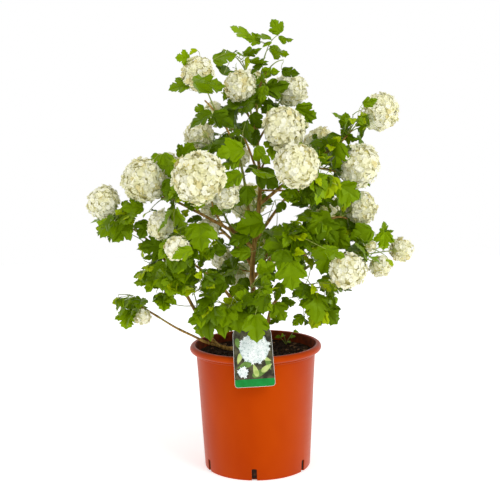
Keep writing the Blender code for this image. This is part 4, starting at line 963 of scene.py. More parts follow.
def shoot_ends(mass, number):
    """Where a leafy shoot may end: its own place in the mass's reach, then others round it."""
    _, _, shoots, centre, reach, _ = MASSES[mass]
    middle = Vector(centre) * MM
    spin = random.Random(mass).uniform(0, math.tau)
    for attempt in range(BEND_TRIES):
        sunk = number + 0.5 + END_SINK * (attempt % END_STEPS)
        height = 1 - 2 * sunk / (shoots + END_SINK * (END_STEPS - 1))
        level = math.sqrt(1 - height ** 2)
        turn = spin + (number + END_TURN * attempt) * GOLDEN_TURN
        way = Vector((level * math.cos(turn), level * math.sin(turn), height))
        way = (way + END_OUTWARD * outward(middle)).normalized()
        yield middle + Vector([w * r * MM * SHOOT_REACH for w, r in zip(way, reach)])


def grow_frame(limbs, space):
    """The stems, shoots and flower balls of every mass, as in the solids."""
    for name, limb in limbs.items():
        space.add(name, *sampled(limb["line"], limb["radii"]))
    for mass, (_, _, _, _, _, balls) in MASSES.items():
        for number, (*middle, across) in enumerate(balls):
            space.add(f"{mass} ball {number}", [Vector(middle) * MM], [across / 2 * MM])
    grown = {}
    for mass in MASSES:
        stem = grow_stem(mass, limbs, space)
        grown[mass] = {"stem": stem, "balls": [], "ball_shoots": [], "leafy_shoots": []}
        space.add(mass, *sampled(stem["line"], stem["radii"]))
    for mass, (_, _, shoots, _, _, balls) in MASSES.items():
        plant = grown[mass]
        for number, (*place, across) in enumerate(balls):
            key = f"{mass} ball {number}"
            end = Vector(place) * MM
            start_share = BALL_SHOOTS_FROM + BALL_SHOOTS_OVER * number / len(balls)
            ends = [end] * BEND_TRIES
            shoot = grow_shoot(key, plant["stem"], start_share, ends, space, {mass, key})
            if shoot:
                stalk = shoot["fine"][-1] - shoot["fine"][-2]
                plant["balls"].append((key, end, across / 2 * MM, stalk.normalized()))
                plant["ball_shoots"].append((key, shoot))
                space.add(mass, *sampled(shoot["line"], shoot["radii"]))
        for number in range(shoots):
            key = f"{mass} shoot {number}"
            start_share = LEAFY_SHOOTS_FROM + LEAFY_SHOOTS_OVER * (number + 0.5) / shoots
            ends = shoot_ends(mass, number)
            shoot = grow_shoot(key, plant["stem"], start_share, ends, space, {mass})
            if shoot:
                plant["leafy_shoots"].append((key, shoot))
                space.add(mass, *sampled(shoot["line"], shoot["radii"]))
    return grown


class Crown:
    """The leaves that have found room, with their stalks, and the fine twigs they stand on."""

    def __init__(self, space):
        self.space = space
        self.leaves = []
        self.stalks = []
        self.side_twigs = []
        self.shoots = []
        self.roots = []
        self.blades = []
        self.middles = np.zeros((0, 3))
        self.twigs = []
        self.balls = [(Vector(middle) * MM, across / 2 * MM)
                      for _, _, _, _, _, balls in MASSES.values() for *middle, across in balls]
        self.balls_seen = pixels_of([ball for ball, _ in self.balls])

    def looks_right(self, points):
        """Whether a leaf's points stay in the crown, out of its openings and off the balls."""
        middle = points[0]
        spots = pixels_of(points)
        if middle.y < CREST_BACK and spots[0][1] < CREST_FOOT:
            return False
        if not in_crown(spots) or in_ovals(spots, OPEN_SKY):
            return False
        if middle.y < IN_FRONT and in_ovals(spots, OPEN_IN_FRONT):
            return False
        for (ball, radius), seen in zip(self.balls, self.balls_seen):
            if middle.y < ball.y < BALL_SEEN_TO:
                shown = BALL_SHOWN if ball.y < BALL_SEEN_WHOLE_TO else BACK_BALL_SHOWN
                away = math.dist(seen, spots[0]) * (middle - EYE.translation).length
                if away < radius * shown * FOCAL_PIXELS:
                    return False
        return True

    def place_twig(self, points):
        """A fine twig through placed points, from the nearest wood."""
        line = [shown_at(x, y, depth * MM) for x, y, depth in points]
        line.insert(0, self.nearest_wood(line[0]))
        self.roots.append(line[0])
        smooth = smooth_line(line, SAMPLE_STEP)
        even = [along(smooth, part / FINE_PARTS)[0] for part in range(FINE_PARTS + 1)]
        self.twigs.append(even)
        self.space.add("placed twig", *sampled(even, taper(*SIDE_RADII, len(even))))

    def nearest_wood(self, point):
        """The nearest point of a limb, stem or shoot."""
        wood = np.array([" ball " not in owner for owner in self.space.owners])
        points = self.space.points[wood]
        return Vector(points[np.linalg.norm(points - np.array(point), axis=1).argmin()])

    def place_leaf(self, row):
        """A leaf at its pixels, on a stalk from the nearest wood."""
        x, y, tip_x, tip_y, depth, forward, roll, lobed, green = row
        foot = shown_at(x, y, depth * MM)
        flat = shown_at(tip_x, tip_y, depth * MM) - foot
        view = (EYE.translation - foot).normalized()
        pitch = math.radians(forward)
        out = flat.normalized() * math.cos(pitch) + view * math.sin(pitch)
        length = flat.length / math.cos(pitch)
        face = Matrix.Rotation(math.radians(roll), 3, out) @ (view - out * view.dot(out))
        place = leaf_place(foot, out, face, length)
        shape = leaf_shape(random.Random(f"placed {x} {y} {tip_x} {tip_y}"), False)
        shape["lobed"] = lobed
        shape["droop"] *= PLACED_DROOP
        # The placed green copies how light or dark the leaf looks: its own tint with painted shade
        # and painted light
        self.leaves.append((green, place, shape))
        root = self.nearest_wood(foot)
        self.roots.append(root)
        control = foot - out * PLACED_STALK_LEAD * (foot - root).length
        bend = root.lerp(control, PLACED_STALK_PULL)
        self.stalks.append(bend_line(root, bend, foot, STALK_PARTS))
        self.keep(middle_of(place), rim_of(place))

    def keep(self, middle, rim):
        """Note a blade so that later leaves don't cross it."""
        shrunk = [point.lerp(middle, BLADE_SHRINK) for point in rim]
        shrunk[0] = rim[0].lerp(middle, BLADE_FOOT_SHRINK)
        fan = [(0, 1 + i, 1 + (i + 1) % len(rim)) for i in range(len(rim))]
        self.blades.append(BVHTree.FromPolygons([middle, *shrunk], fan))
        self.middles = np.vstack([self.middles, np.array(middle)])

    def has_room(self, mass, place, length):
        """Whether a leaf clears limbs, twigs, balls, pot and the blades before it."""
        rim = rim_of(place)
        middle = middle_of(place)
        if spread(mass, rim[LEAF_TIP]) > LEAF_SPACE or spread(mass, middle) > LEAF_SPACE:
            return False
        if any(p.z < POT_HEIGHT + RIM_GAP and p.xy.length < RIM_RADIUS + 2 * RIM_GAP for p in rim):
            return False
        if not self.looks_right([middle, *rim[1:]]):
            return False
        points = [middle] + [p.lerp(middle, share) for p in rim[1:] for share in (0.0, 0.5)]
        if not self.space.is_clear(points, LEAF_CLEARANCE, {"none"}):
            return False
        near = np.linalg.norm(self.middles - np.array(middle), axis=1) < BLADE_REACH * length
        self.keep(middle, rim)
        if any(self.blades[-1].overlap(self.blades[i]) for i in np.flatnonzero(near)):
            self.blades.pop()
            self.middles = self.middles[:-1]
            return False
        return True


def spread(mass, point):
    """How far out in a mass a point lies, as a share of the mass's reach."""
    _, _, _, centre, reach, _ = MASSES[mass]
    return math.hypot(*((p / MM - c) / r for p, c, r in zip(point, centre, reach)))


def leaf_place(root, out, face, length):
    """A leaf's matrix: its length runs along y and its upper side faces z."""
    side = out.cross(face).normalized()
    normal = side.cross(out).normalized()
    turn = Matrix((side, out, normal)).transposed().to_4x4()
    return Matrix.Translation(root) @ turn @ Matrix.Scale(length, 4)


def leaf_shape(rng, young):
    """How one leaf droops, folds, curls and waves, and how lobed it is."""
    shape = {bend: rng.uniform(*span) for bend, span in LEAF_BENDS.items()}
    shape["fold"] *= YOUNG_FOLD if young else 1
    shape["lobed"] = rng.uniform(*(YOUNG_LOBES if young else LEAF_LOBES))
    return shape


def pick_green(rng, middle, young):
    """Which green a leaf gets: paler if young or far out, deeper inside as painted shade."""
    # Leaves near the crown's axis and low down lean to deeper greens: painted shade
    out = middle.xy.length / GREEN_REACH + (middle.z - GREEN_LEVEL) / GREEN_RISE
    chance = rng.uniform(0, 1) - GREEN_SHADE_PULL * out
    if young and chance < YOUNG_GREEN_SHARE:
        return 0
    return 1 + sum(chance >= share for share in GREEN_SHARES)


def middle_of(place):
    """The middle of a leaf from its matrix."""
    return place @ Vector((*LEAF_MIDDLE, 0))


def rim_of(place):
    """The points round a leaf's rim from its matrix."""
    return [place @ Vector((*spot, 0)) for spot in LEAF_RIM]


def add_leaves(crown, mass, key, line, nodes, size):
    """Opposite pairs of stalked leaves at a twig's nodes, each tried at a few turns."""
    rng = random.Random(key + " leaves")
    across = None
    last = 0
    for share in nodes:
        root, axis = along(line, share)
        across = axis.cross(across or wild_way(rng)).normalized()
        young = share > YOUNG_FROM
        away = outward(root)
        for side in (-1, 1):
            length = rng.uniform(*LEAF_LENGTHS) * size * (YOUNG_LEAF_SHARE if young else 1.0)
            length *= height_share(root.z)
            stalk = rng.uniform(*STALK_LENGTHS) * size * (YOUNG_STALK_SHARE if young else 1.0)
            for attempt in range(LEAF_TRIES):
                wild = wild_way(rng) * (LEAF_SWAY + LEAF_MORE_SWAY * attempt)
                lift = rng.uniform(0, LEAF_LIFT)
                splay = rng.uniform(*LEAF_SPLAYS) * (YOUNG_SPLAY if young else 1.0)
                lead = side * across * splay + axis * LEAF_AHEAD + away * LEAF_OUTWARD
                lead = (lead + UP * lift + wild).normalized()
                foot = root + lead * stalk
                hang = rng.uniform(*(YOUNG_HANGS if young else LEAF_HANGS))
                out = (lead + away * BLADE_OUTWARD - UP * hang).normalized()
                broad = Vector((FACE_SIDEWAYS * away.x, away.y, 0))
                face = UP * rng.uniform(*FACE_RISES) + broad * rng.uniform(*FACE_LEANS)
                face += FACE_SWAY * wild_way(rng)
                place = leaf_place(foot, out, face, length)
                if crown.has_room(mass, place, length):
                    shape = leaf_shape(rng, young)
                    crown.leaves.append((pick_green(rng, middle_of(place), young), place, shape))
                    control = root + lead * stalk * STALK_BEND_AT
                    crown.stalks.append(bend_line(root, control, foot, STALK_PARTS))
                    last = share
                    break
    return last


def height_share(height):
    """How much smaller leaves are towards the crown's young top."""
    low, high = SMALLER_FROM
    share = min(1, max(0, (height - low) / (high - low)))
    return 1 - share * (1 - TOP_LEAF_SHARE)


def add_side_twig(crown, mass, key, line):
    """A short twig from the side of a shoot, with leaves of its own, where it has room."""
    rng = random.Random(key + " side")
    root, axis = along(line, rng.uniform(*SIDE_FROM))
    length = rng.uniform(*SIDE_LENGTHS)
    for _ in range(LEAF_TRIES):
        sway = axis.cross(wild_way(rng)).normalized()
        way = sway + SIDE_AHEAD * axis + SIDE_RISE * UP + SIDE_OUTWARD * outward(root)
        end = root + way.normalized() * length
        twig = bend_line(root, root.lerp(end, 0.5) + SIDE_ARCH * length * UP, end, STALK_PARTS)
        radii = taper(*SIDE_RADII, len(twig))
        points, sizes = sampled(twig, radii)
        reach = np.array(sizes)[:, None] + TWIG_CLEARANCE
        if spread(mass, end) < LEAF_SPACE and crown.space.is_clear(points, reach, {mass}):
            crown.space.add(mass, points, sizes)
            return twig
    return None


def cut_at(line, share):
    """A line's first part, as evenly spaced points."""
    return [along(line, share * part / FINE_PARTS)[0] for part in range(FINE_PARTS + 1)]


def share_at(line, point):
    """The share of a line's length at its nearest to a point, or 0 where that is far off."""
    shares = [part / SHARE_STEPS for part in range(SHARE_STEPS + 1)]
    away = [(along(line, share)[0] - point).length for share in shares]
    nearest = min(range(len(away)), key=away.__getitem__)
    return shares[nearest] if away[nearest] < JOINT_REACH else 0


def dress(grown, space):
    """Put side twigs and leaves on every shoot."""
    crown = Crown(space)
    for points in PLACED_TWIGS:
        crown.place_twig(points)
    for row in PLACED_LEAVES:
        crown.place_leaf(row)
    needed = {}
    for mass, plant in grown.items():
        for key, shoot in plant["leafy_shoots"]:
            for number in range(SIDE_TWIGS):
                twig = add_side_twig(crown, mass, f"{key} {number}", shoot["fine"])
                if twig:
                    last = add_leaves(crown, mass, f"{key} side {number}", twig,
                                      SIDE_NODES, SIDE_LEAF_SHARE)
                    last = max([last] + [share_at(twig, root) for root in crown.roots])
                    if last:
                        crown.side_twigs.append(cut_at(twig, last))
                        needed[key] = max(needed.get(key, 0), share_at(shoot["fine"], twig[0]))
    for mass, plant in grown.items():
        for key, shoot in plant["leafy_shoots"]:
            line = shoot["fine"]
            last = add_leaves(crown, mass, key + " fine", line, LEAFY_NODES, 1.0)
            roots = [share_at(line, root) for root in crown.roots]
            last = max([last, needed.get(key, 0)] + roots)
            if last:
                crown.shoots.append(cut_at(line, last))
        for key, shoot in plant["ball_shoots"]:
            add_leaves(crown, mass, key + " fine", shoot["fine"], BALL_NODES, 0.9)
            crown.shoots.append(shoot["fine"])
    return crown


def grow_sprout(crown):
    """A seedling that stands in the soil by the pot's far side."""
    rng = random.Random("sprout")
    x, y = SPROUT_PLACE
    root = Vector((x, y, SOIL_TOP + soil_height(x, y) - MM))
    for lean_x, lean_y, rise, length, green in SPROUT_STEMS:
        tip = root + Vector((lean_x, lean_y, rise)) * MM
        middle = root.lerp(tip, SPROUT_BEND_AT) + SPROUT_ARCH * rise * MM * UP
        crown.twigs.append(bend_line(root, middle, tip, FINE_PARTS))
        out = Vector((lean_x, lean_y, SPROUT_LIFT)).normalized()
        place = leaf_place(tip, out, SPROUT_FACE, length * MM)
        crown.leaves.append((green, place, leaf_shape(rng, True)))


def show(bm, name, skin, smooth_angle=SMOOTH_ANGLE):
    """Turn a bmesh into a smooth object at the origin."""
    bmesh.ops.recalc_face_normals(bm, faces=bm.faces)
    mesh = bpy.data.meshes.new(name)
    bm.to_mesh(mesh)
    bm.free()
    return placed(mesh, name, skin, smooth_angle)


def placed(mesh, name, skin, smooth_angle):
    """Link a finished mesh to the scene as a piece of the plant's one body."""
    mesh.materials.append(skin)
    mesh.shade_smooth()
    if smooth_angle:
        mesh.set_sharp_from_angle(angle=smooth_angle)
    made = bpy.data.objects.new(name, mesh)
    bpy.context.scene.collection.objects.link(made)
    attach(made, "root")
    return made


class Stamp:
    """A small shape made once, kept as arrays, and laid down many times in one mesh."""

    def __init__(self, bm):
        bmesh.ops.recalc_face_normals(bm, faces=bm.faces)
        bm.verts.index_update()
        self.points = np.array([vert.co[:] for vert in bm.verts])
        self.faces = [[vert.index for vert in face.verts] for face in bm.faces]
        bm.free()

    def lay(self, name, clouds, slot, skin, smooth_angle=None):
        """One piece of one skin from many sets of this shape's points."""
        count = len(self.points)
        points = np.concatenate(clouds)
        faces = [[index + count * n for index in face]
                 for n in range(len(clouds)) for face in self.faces]
        mesh = bpy.data.meshes.new(name)
        mesh.from_pydata(points.tolist(), [], faces)
        return placed(mesh, name, skin, smooth_angle)


def tube_stamp(sides, parts):
    """A straight capped tube of radius 1 along z, with a ring of points at 0, 1 and so on."""
    bm = bmesh.new()
    bmesh.ops.create_cone(bm, cap_ends=True, segments=sides, radius1=1, radius2=1, depth=parts)
    bmesh.ops.translate(bm, vec=(0, 0, parts / 2), verts=bm.verts)
    sides_up = [e for e in bm.edges if abs(e.verts[0].co.z - e.verts[1].co.z) > 0.5]
    bmesh.ops.subdivide_edges(bm, edges=sides_up, cuts=parts - 1, use_grid_fill=True)
    return Stamp(bm)


def bent_tubes(name, lines, ends, sides, slot, skin):
    """Tapered tubes bent along lines that all have the same number of points."""
    parts = len(lines[0]) - 1
    stamp = tube_stamp(sides, parts)
    ring = np.rint(stamp.points[:, 2]).astype(int)
    lines = np.array([[tuple(point) for point in line] for line in lines])
    ways = np.gradient(lines, axis=1)
    ways /= np.linalg.norm(ways, axis=2, keepdims=True)
    odd = np.where(np.abs(ways[:, :1, 2:3]) < STEEP, (0.0, 0.0, 1.0), (1.0, 0.0, 0.0))
    sideways = np.cross(ways, odd)
    sideways /= np.linalg.norm(sideways, axis=2, keepdims=True)
    over = np.cross(ways, sideways)
    radii = np.linspace(ends[0], ends[1], parts + 1)[ring][:, None]
    clouds = [line[ring] + radii * (stamp.points[:, :1] * s[ring] + stamp.points[:, 1:2] * o[ring])
              for line, s, o in zip(lines, sideways, over)]
    return stamp.lay(name, clouds, slot, skin, SMOOTH_ANGLE)


def leaf_stamp(panels):
    """A toothed blade of length 1 from its half's panels, each bulging a little."""
    bm = bmesh.new()
    verts = {}
    for panel in panels:
        for spot in panel:
            if spot not in verts:
                verts[spot] = bm.verts.new((*spot, 0))
        bm.faces.new([verts[spot] for spot in panel])
    bmesh.ops.recalc_face_normals(bm, faces=bm.faces)
    for face in bm.faces:
        if face.normal.z < 0:
            face.normal_flip()
    bmesh.ops.poke(bm, faces=bm.faces[:], offset=LEAF_BULGE)
    bmesh.ops.mirror(bm, geom=bm.verts[:] + bm.edges[:] + bm.faces[:], axis="X",
                     merge_dist=MERGE_REACH)
    bmesh.ops.remove_doubles(bm, verts=bm.verts, dist=MERGE_REACH)
    return Stamp(bm)


def leaf_cloud(points, place, shape):
    """A leaf's points: drooping to its tip, folded at its rib and waved at its margin."""
    x, y, z = points.T
    wide = np.abs(x)
    lift = shape["fold"] * wide - shape["droop"] * y ** 2
    lift -= shape["curl"] * wide * (wide + CURL_AHEAD * y)
    ripple = shape["wave"] * np.sin(RIPPLES * y + shape["turn"] + np.sign(x)) * wide * RIPPLE_RISE
    bent = np.stack([x * (1 - FOLD_NARROWS * abs(shape["fold"])), y, z + lift + ripple], axis=1)
    matrix = np.array(place)
    return bent @ matrix[:3, :3].T + matrix[:3, 3]


def build_leaves(crown):
    """Every leaf, joined into pieces of one green each, dealt out by spray and by painted shade.
    """
    lobed = leaf_stamp(LOBED_PANELS)
    plain = leaf_stamp(PLAIN_PANELS)
    clouds = [[] for _ in GREENS]
    for kind, place, shape in crown.leaves:
        share = shape["lobed"]
        points = share * lobed.points + (1 - share) * plain.points
        clouds[kind].append(leaf_cloud(points, place, shape))
    for (name, code), cloud in zip(GREENS, clouds):
        skin = leaf_skin(f"viburnum leaf {name}", code)
        lobed.lay(f"leaves_{name}", cloud, "foliage", skin, RIB_ANGLE)


def floret_stamp():
    """A flat five-petalled floret of radius 1 whose petals cup and then fall back."""
    bm = bmesh.new()
    rows = len(PETAL_WIDTHS) - 1
    made = bmesh.ops.create_grid(bm, x_segments=2, y_segments=rows, size=1)
    for vert in made["verts"]:
        u = vert.co.x
        v = (vert.co.y + 1) / 2
        width = PETAL_WIDTHS[round(v * rows)]
        out = PETAL_FOOT + (1 - PETAL_FOOT) * v * (1 - PETAL_ROUNDING * v * u * u)
        rise = PETAL_RISE * v - PETAL_FALL * v * v - PETAL_ARCH * u * u * v
        vert.co = (u * width, out, rise)
    turn = math.tau * (PETALS - 1) / PETALS
    bmesh.ops.spin(bm, geom=bm.verts[:] + bm.edges[:] + bm.faces[:], cent=(0, 0, 0),
                   axis=(0, 0, 1), angle=turn, steps=PETALS - 1, use_duplicate=True)
    for face in bm.faces:
        face.normal_update()
        if face.normal.z < 0:
            face.normal_flip()
    bm.verts.index_update()
    return Stamp(bm)


def ball_florets(key, middle, radius, axis):
    """Places for the florets of one ball, as matrices."""
    rng = random.Random(key + " florets")
    share = min(1, max(0, (radius - SMALL_BALL) / (LARGE_BALL - SMALL_BALL)))
    floret = FLORET_RADII[0] + share * (FLORET_RADII[1] - FLORET_RADII[0])
    count = round(4 * radius ** 2 / (FLORET_COVER * floret ** 2))
    turn = UP.rotation_difference(axis).to_matrix()
    shift = wild_way(rng) * LUMP_SHIFT
    spin = rng.uniform(0, math.tau)
    places = []
    for number in range(count):
        height = 1 - 2 * (number + 0.5) / count
        if height < -math.cos(BALL_OPENING):
            continue
        level = math.sqrt(1 - height ** 2)
        angle = spin + number * GOLDEN_TURN + rng.uniform(-FLORET_SWAY, FLORET_SWAY)
        way = Vector((level * math.cos(angle), level * math.sin(angle), height))
        lump = sum(part * noise.noise(way * scale + shift) for scale, part in LUMP_SCALES)
        flat = turn @ Vector((way.x, way.y, way.z * BALL_FLATTENING))
        size = floret * rng.uniform(*FLORET_SIZES)
        reach = radius * (FLORET_SINK + BALL_LUMPS * lump) + rng.uniform(*FLORET_DEPTHS) * MM
        face = (turn @ way + FLORET_TILT * wild_way(rng)).normalized()
        facing = UP.rotation_difference(face).to_matrix().to_4x4()
        rolled = Matrix.Rotation(rng.uniform(0, math.tau), 4, "Z")
        place = Matrix.Translation(middle + flat * reach) @ facing @ rolled
        places.append(place @ Matrix.Scale(size, 4))
    return places


def build_blossom(grown):
    """All florets in four whites, dealt out in patches, over the hearts of the balls."""
    stamp = floret_stamp()
    clouds = [[] for _ in WHITES]
    hearts = []
    rays = []
    for plant in grown.values():
        for key, middle, radius, axis in plant["balls"]:
            rng = random.Random(key + " age")
            age = rng.uniform(0, 1)
            for place in ball_florets(key, middle, radius, axis):
                matrix = np.array(place)
                bent = stamp.points * (1, 1, rng.uniform(*PETAL_CUPS))
                spot = place.translation / WHITE_PATCH + Vector((age * WHITE_SHIFT, 0, 0))
                pick = rng.uniform(0, 1) + AGE_PULL * (age - 0.5) + PATCH_PULL * noise.noise(spot)
                kind = sum(pick <= limit for limit in WHITE_LIMITS)
                clouds[kind].append(bent @ matrix[:3, :3].T + matrix[:3, 3])
            hearts.append((middle, radius * HEART_SHARE, axis))
            rays += ball_rays(rng, middle, radius, axis)
    for (name, code), cloud in zip(WHITES, clouds):
        stamp.lay(f"florets_{name}", cloud, "blossom", petal_skin(f"viburnum petal {name}", code))
    build_hearts(hearts)
    stalks = green_shoot("pale floret stalk", "A9B95A", "C3CC7C")
    bent_tubes("floret_stalks", rays, RAY_RADII, 4, "blossom", stalks)


def ball_rays(rng, middle, radius, axis):
    """Thin stalks that fan out from the twig's end, seen where the ball opens to its twig."""
    foot = middle - axis * radius * RAY_FOOT
    side = axis.orthogonal().normalized()
    lines = []
    for number in range(RAYS):
        angle = number * math.tau / RAYS + rng.uniform(-RAY_SWAY, RAY_SWAY)
        out = Matrix.Rotation(angle, 3, axis) @ side
        end = middle + out * radius * rng.uniform(*RAY_REACHES) - axis * radius * RAY_DROP
        bend = foot.lerp(end, 0.5) - axis * radius * RAY_ARCH
        lines.append(bend_line(foot, bend, end, RAY_PARTS))
    return lines


def build_hearts(hearts):
    """The shaded green insides of the balls that show between the florets."""
    bm = bmesh.new()
    bmesh.ops.create_icosphere(bm, subdivisions=2, radius=1)
    stamp = Stamp(bm)
    clouds = []
    for middle, radius, axis in hearts:
        turn = UP.rotation_difference(axis).to_matrix()
        shape = np.array(turn) @ np.diag((1, 1, HEART_FLATTENING))
        clouds.append(stamp.points @ shape.T * radius + np.array(middle))
    skin = mottled("crowded floret stalks", ((0.35, "D0C674"), (0.5, "E0DA98"), (0.7, "ECE8B8")),
                   {"Roughness": 0.8}, 4 * MM)
    stamp.lay("ball_hearts", clouds, "blossom", skin)


def build_bark(limbs):
    """Trunk and boughs in one mesh with ridged bark and swollen joints where leaves stood."""
    whole = bmesh.new()
    young = whole.verts.layers.float.new("young")
    for name, limb in limbs.items():
        green_from = GREEN_FROM.get(name, GREEN_FROM["others"])
        line = smooth_line(limb["line"], BARK_STEP)
        spots = np.cumsum([0] + [(b - a).length for a, b in zip(line, line[1:])])
        marks = np.cumsum([0] + [(b - a).length for a, b in zip(limb["line"], limb["line"][1:])])
        radii = np.interp(spots, marks, limb["radii"])
        swell = np.cos(math.pi * spots / BARK_JOINT_STEP) ** 2
        joint = np.exp(-((1 - swell) * BARK_JOINT_STEP / BARK_JOINT_WIDTH) ** 2)
        radii = radii * (1 + BARK_JOINT_SWELL * joint)
        directions = [(b - a).normalized() for a, b in zip(line, line[1:])]
        directions.append(directions[-1])
        turn = UP.rotation_difference(directions[0])
        before = directions[0]
        rings = []
        for point, direction, radius, spot in zip(line, directions, radii, spots):
            turn = before.rotation_difference(direction) @ turn
            before = direction
            place = Matrix.Translation(point) @ turn.to_matrix().to_4x4()
            made = bmesh.ops.create_circle(whole, segments=BARK_SIDES, radius=radius,
                                           matrix=place)
            for vert in made["verts"]:
                away = vert.co - point
                long = Vector((vert.co.x, vert.co.y, vert.co.z * BARK_FINE_STRETCH))
                bumps = noise.noise(long / BARK_FINE)
                bumps += BARK_BROAD_SHARE * noise.noise(vert.co / BARK_BROAD)
                vert.co = point + away * (1 + BARK_RELIEF * bumps)
                vert[young] = min(1, max(0, (spot / spots[-1] - green_from) / GREEN_OVER))
            rings.append(list({edge for vert in made["verts"] for edge in vert.link_edges}))
        for ring, following in zip(rings, rings[1:]):
            bmesh.ops.bridge_loops(whole, edges=ring + following)
        bmesh.ops.contextual_create(whole, geom=rings[0])
        bmesh.ops.contextual_create(whole, geom=rings[-1])
    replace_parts(show(whole, "bark_of_stems", woody_bark()), *LIMBS)


def pot_profile():
    """The pot's section from the middle of its underside up, over the rim and down inside."""
    foot = POT_FOOT_RADIUS
    rise = POT_HEIGHT - 2 * RIM_ROLL
    wall_top = POT_WALL_TOP_RADIUS
    roll_middle = RIM_RADIUS - RIM_ROLL
    points = [(0, 0), (foot - POT_FOOT_ROUNDING, 0)]
    for step in (0.33, 0.67, 1.0):
        turn = math.pi / 2 * step
        points.append((foot - POT_FOOT_ROUNDING * (1 - math.sin(turn)),
                       POT_FOOT_ROUNDING * (1 - math.cos(turn))))
    for share in (0.25, 0.5, 0.75):
        points.append((foot + (wall_top - foot) * share, rise * share))
    bead = rise - RIM_BEAD_DROP
    points += [(wall_top, bead - RIM_BEAD), (wall_top + RIM_BEAD, bead),
               (wall_top + RIM_BEAD, rise - RIM_BEAD_TOP)]
    for step in range(RIM_ARC_STEPS + 1):
        turn = RIM_ARC_START + RIM_ARC_SWEEP * step / RIM_ARC_STEPS
        across = roll_middle + RIM_ROLL * math.cos(turn)
        height = POT_HEIGHT - RIM_ROLL + RIM_ROLL * math.sin(turn)
        points.append((max(across, wall_top - POT_WALL + RIM_STEP), height))
    points += [(wall_top - POT_WALL, rise), (foot - POT_WALL, POT_FLOOR), (0, POT_FLOOR)]
    return points


def turned(profile, segments):
    """A closed solid turned round the vertical axis from a profile that starts and ends on it."""
    bm = bmesh.new()
    verts = [bm.verts.new((across, 0, height)) for across, height in profile]
    edges = [bm.edges.new(pair) for pair in zip(verts, verts[1:])]
    bmesh.ops.spin(bm, geom=verts + edges, cent=(0, 0, 0), axis=(0, 0, 1), dvec=(0, 0, 0),
                   angle=math.tau, steps=segments, use_merge=True, use_duplicate=False)
    bmesh.ops.remove_doubles(bm, verts=bm.verts, dist=0.01 * MM)
    return bm


def build_pot():
    """The moulded pot with its rolled rim and round-ended drainage slots."""
    plastic = pot_plastic()
    pot = show(turned(pot_profile(), POT_SEGMENTS), "moulded_pot", plastic)
    bm = bmesh.new()
    for number in range(SLOT_COUNT):
        turn = Matrix.Rotation(SLOT_FIRST_TURN + number * math.tau / SLOT_COUNT, 4, "Z")
        size = Matrix.Diagonal((SLOT_DEPTH, SLOT_WIDTH, 2 * SLOT_HEIGHT, 1))
        place = Matrix.Translation((POT_FOOT_RADIUS, 0, 0))
        bmesh.ops.create_cube(bm, size=1, matrix=turn @ place @ size)
    corners = [edge for edge in bm.edges
               if abs(edge.verts[0].co.z - edge.verts[1].co.z) < MM
               and edge.verts[0].co.z > 0
               and abs(edge.verts[0].co.xy.length - edge.verts[1].co.xy.length) > MM]
    bmesh.ops.bevel(bm, geom=corners, offset=2 * SLOT_ROUNDING, segments=4, profile=0.5,
                    affect="EDGES", material=-1)
    bmesh.ops.recalc_face_normals(bm, faces=bm.faces)
    mesh = bpy.data.meshes.new("slot cutter")
    bm.to_mesh(mesh)
    bm.free()
    mesh.materials.append(plastic)
    cutter = bpy.data.objects.new("slot cutter", mesh)
    bpy.context.scene.collection.objects.link(cutter)
    cut = pot.modifiers.new("slots", "BOOLEAN")
    cut.object = cutter
    bake(pot)
    bpy.data.objects.remove(cutter)
    pot.data.shade_smooth()
    pot.data.set_sharp_from_angle(angle=SMOOTH_ANGLE)
    # Inward-facing wall faces take a dull dark brown: peat stain together with painted shade
    # inside the pot's mouth
    pot.data.materials.append(stained_shaded_plastic())
    for face in pot.data.polygons:
        inward = -face.normal.xy.dot(face.center.xy)
        if inward > 0.5 * face.center.xy.length and face.center.xy.length > POT_FOOT_RADIUS / 2:
            face.material_index = 1
    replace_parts(pot, "pot")


def bake(thing):
    """Keep an object's shape as its modifiers make it."""
    graph = bpy.context.evaluated_depsgraph_get()
    mesh = bpy.data.meshes.new_from_object(thing.evaluated_get(graph))
    thing.modifiers.clear()
    thing.data = mesh


def soil_height(x, y):
    """How far the soil's crumbly top stands over its level."""
    spot = Vector((x, y, 0))
    broad = SOIL_BROAD_SHARE * noise.noise(spot / SOIL_BROAD)
    fine = SOIL_FINE_SHARE * noise.noise(spot / SOIL_FINE + SOIL_SHIFT)
    bank = min(1, max(0, (spot.length - SOIL_FLAT_RADIUS) / SOIL_BANK_WIDTH))
    return SOIL_ROUGHNESS * (broad + fine - SOIL_SINK) + SOIL_BANK * bank ** 2


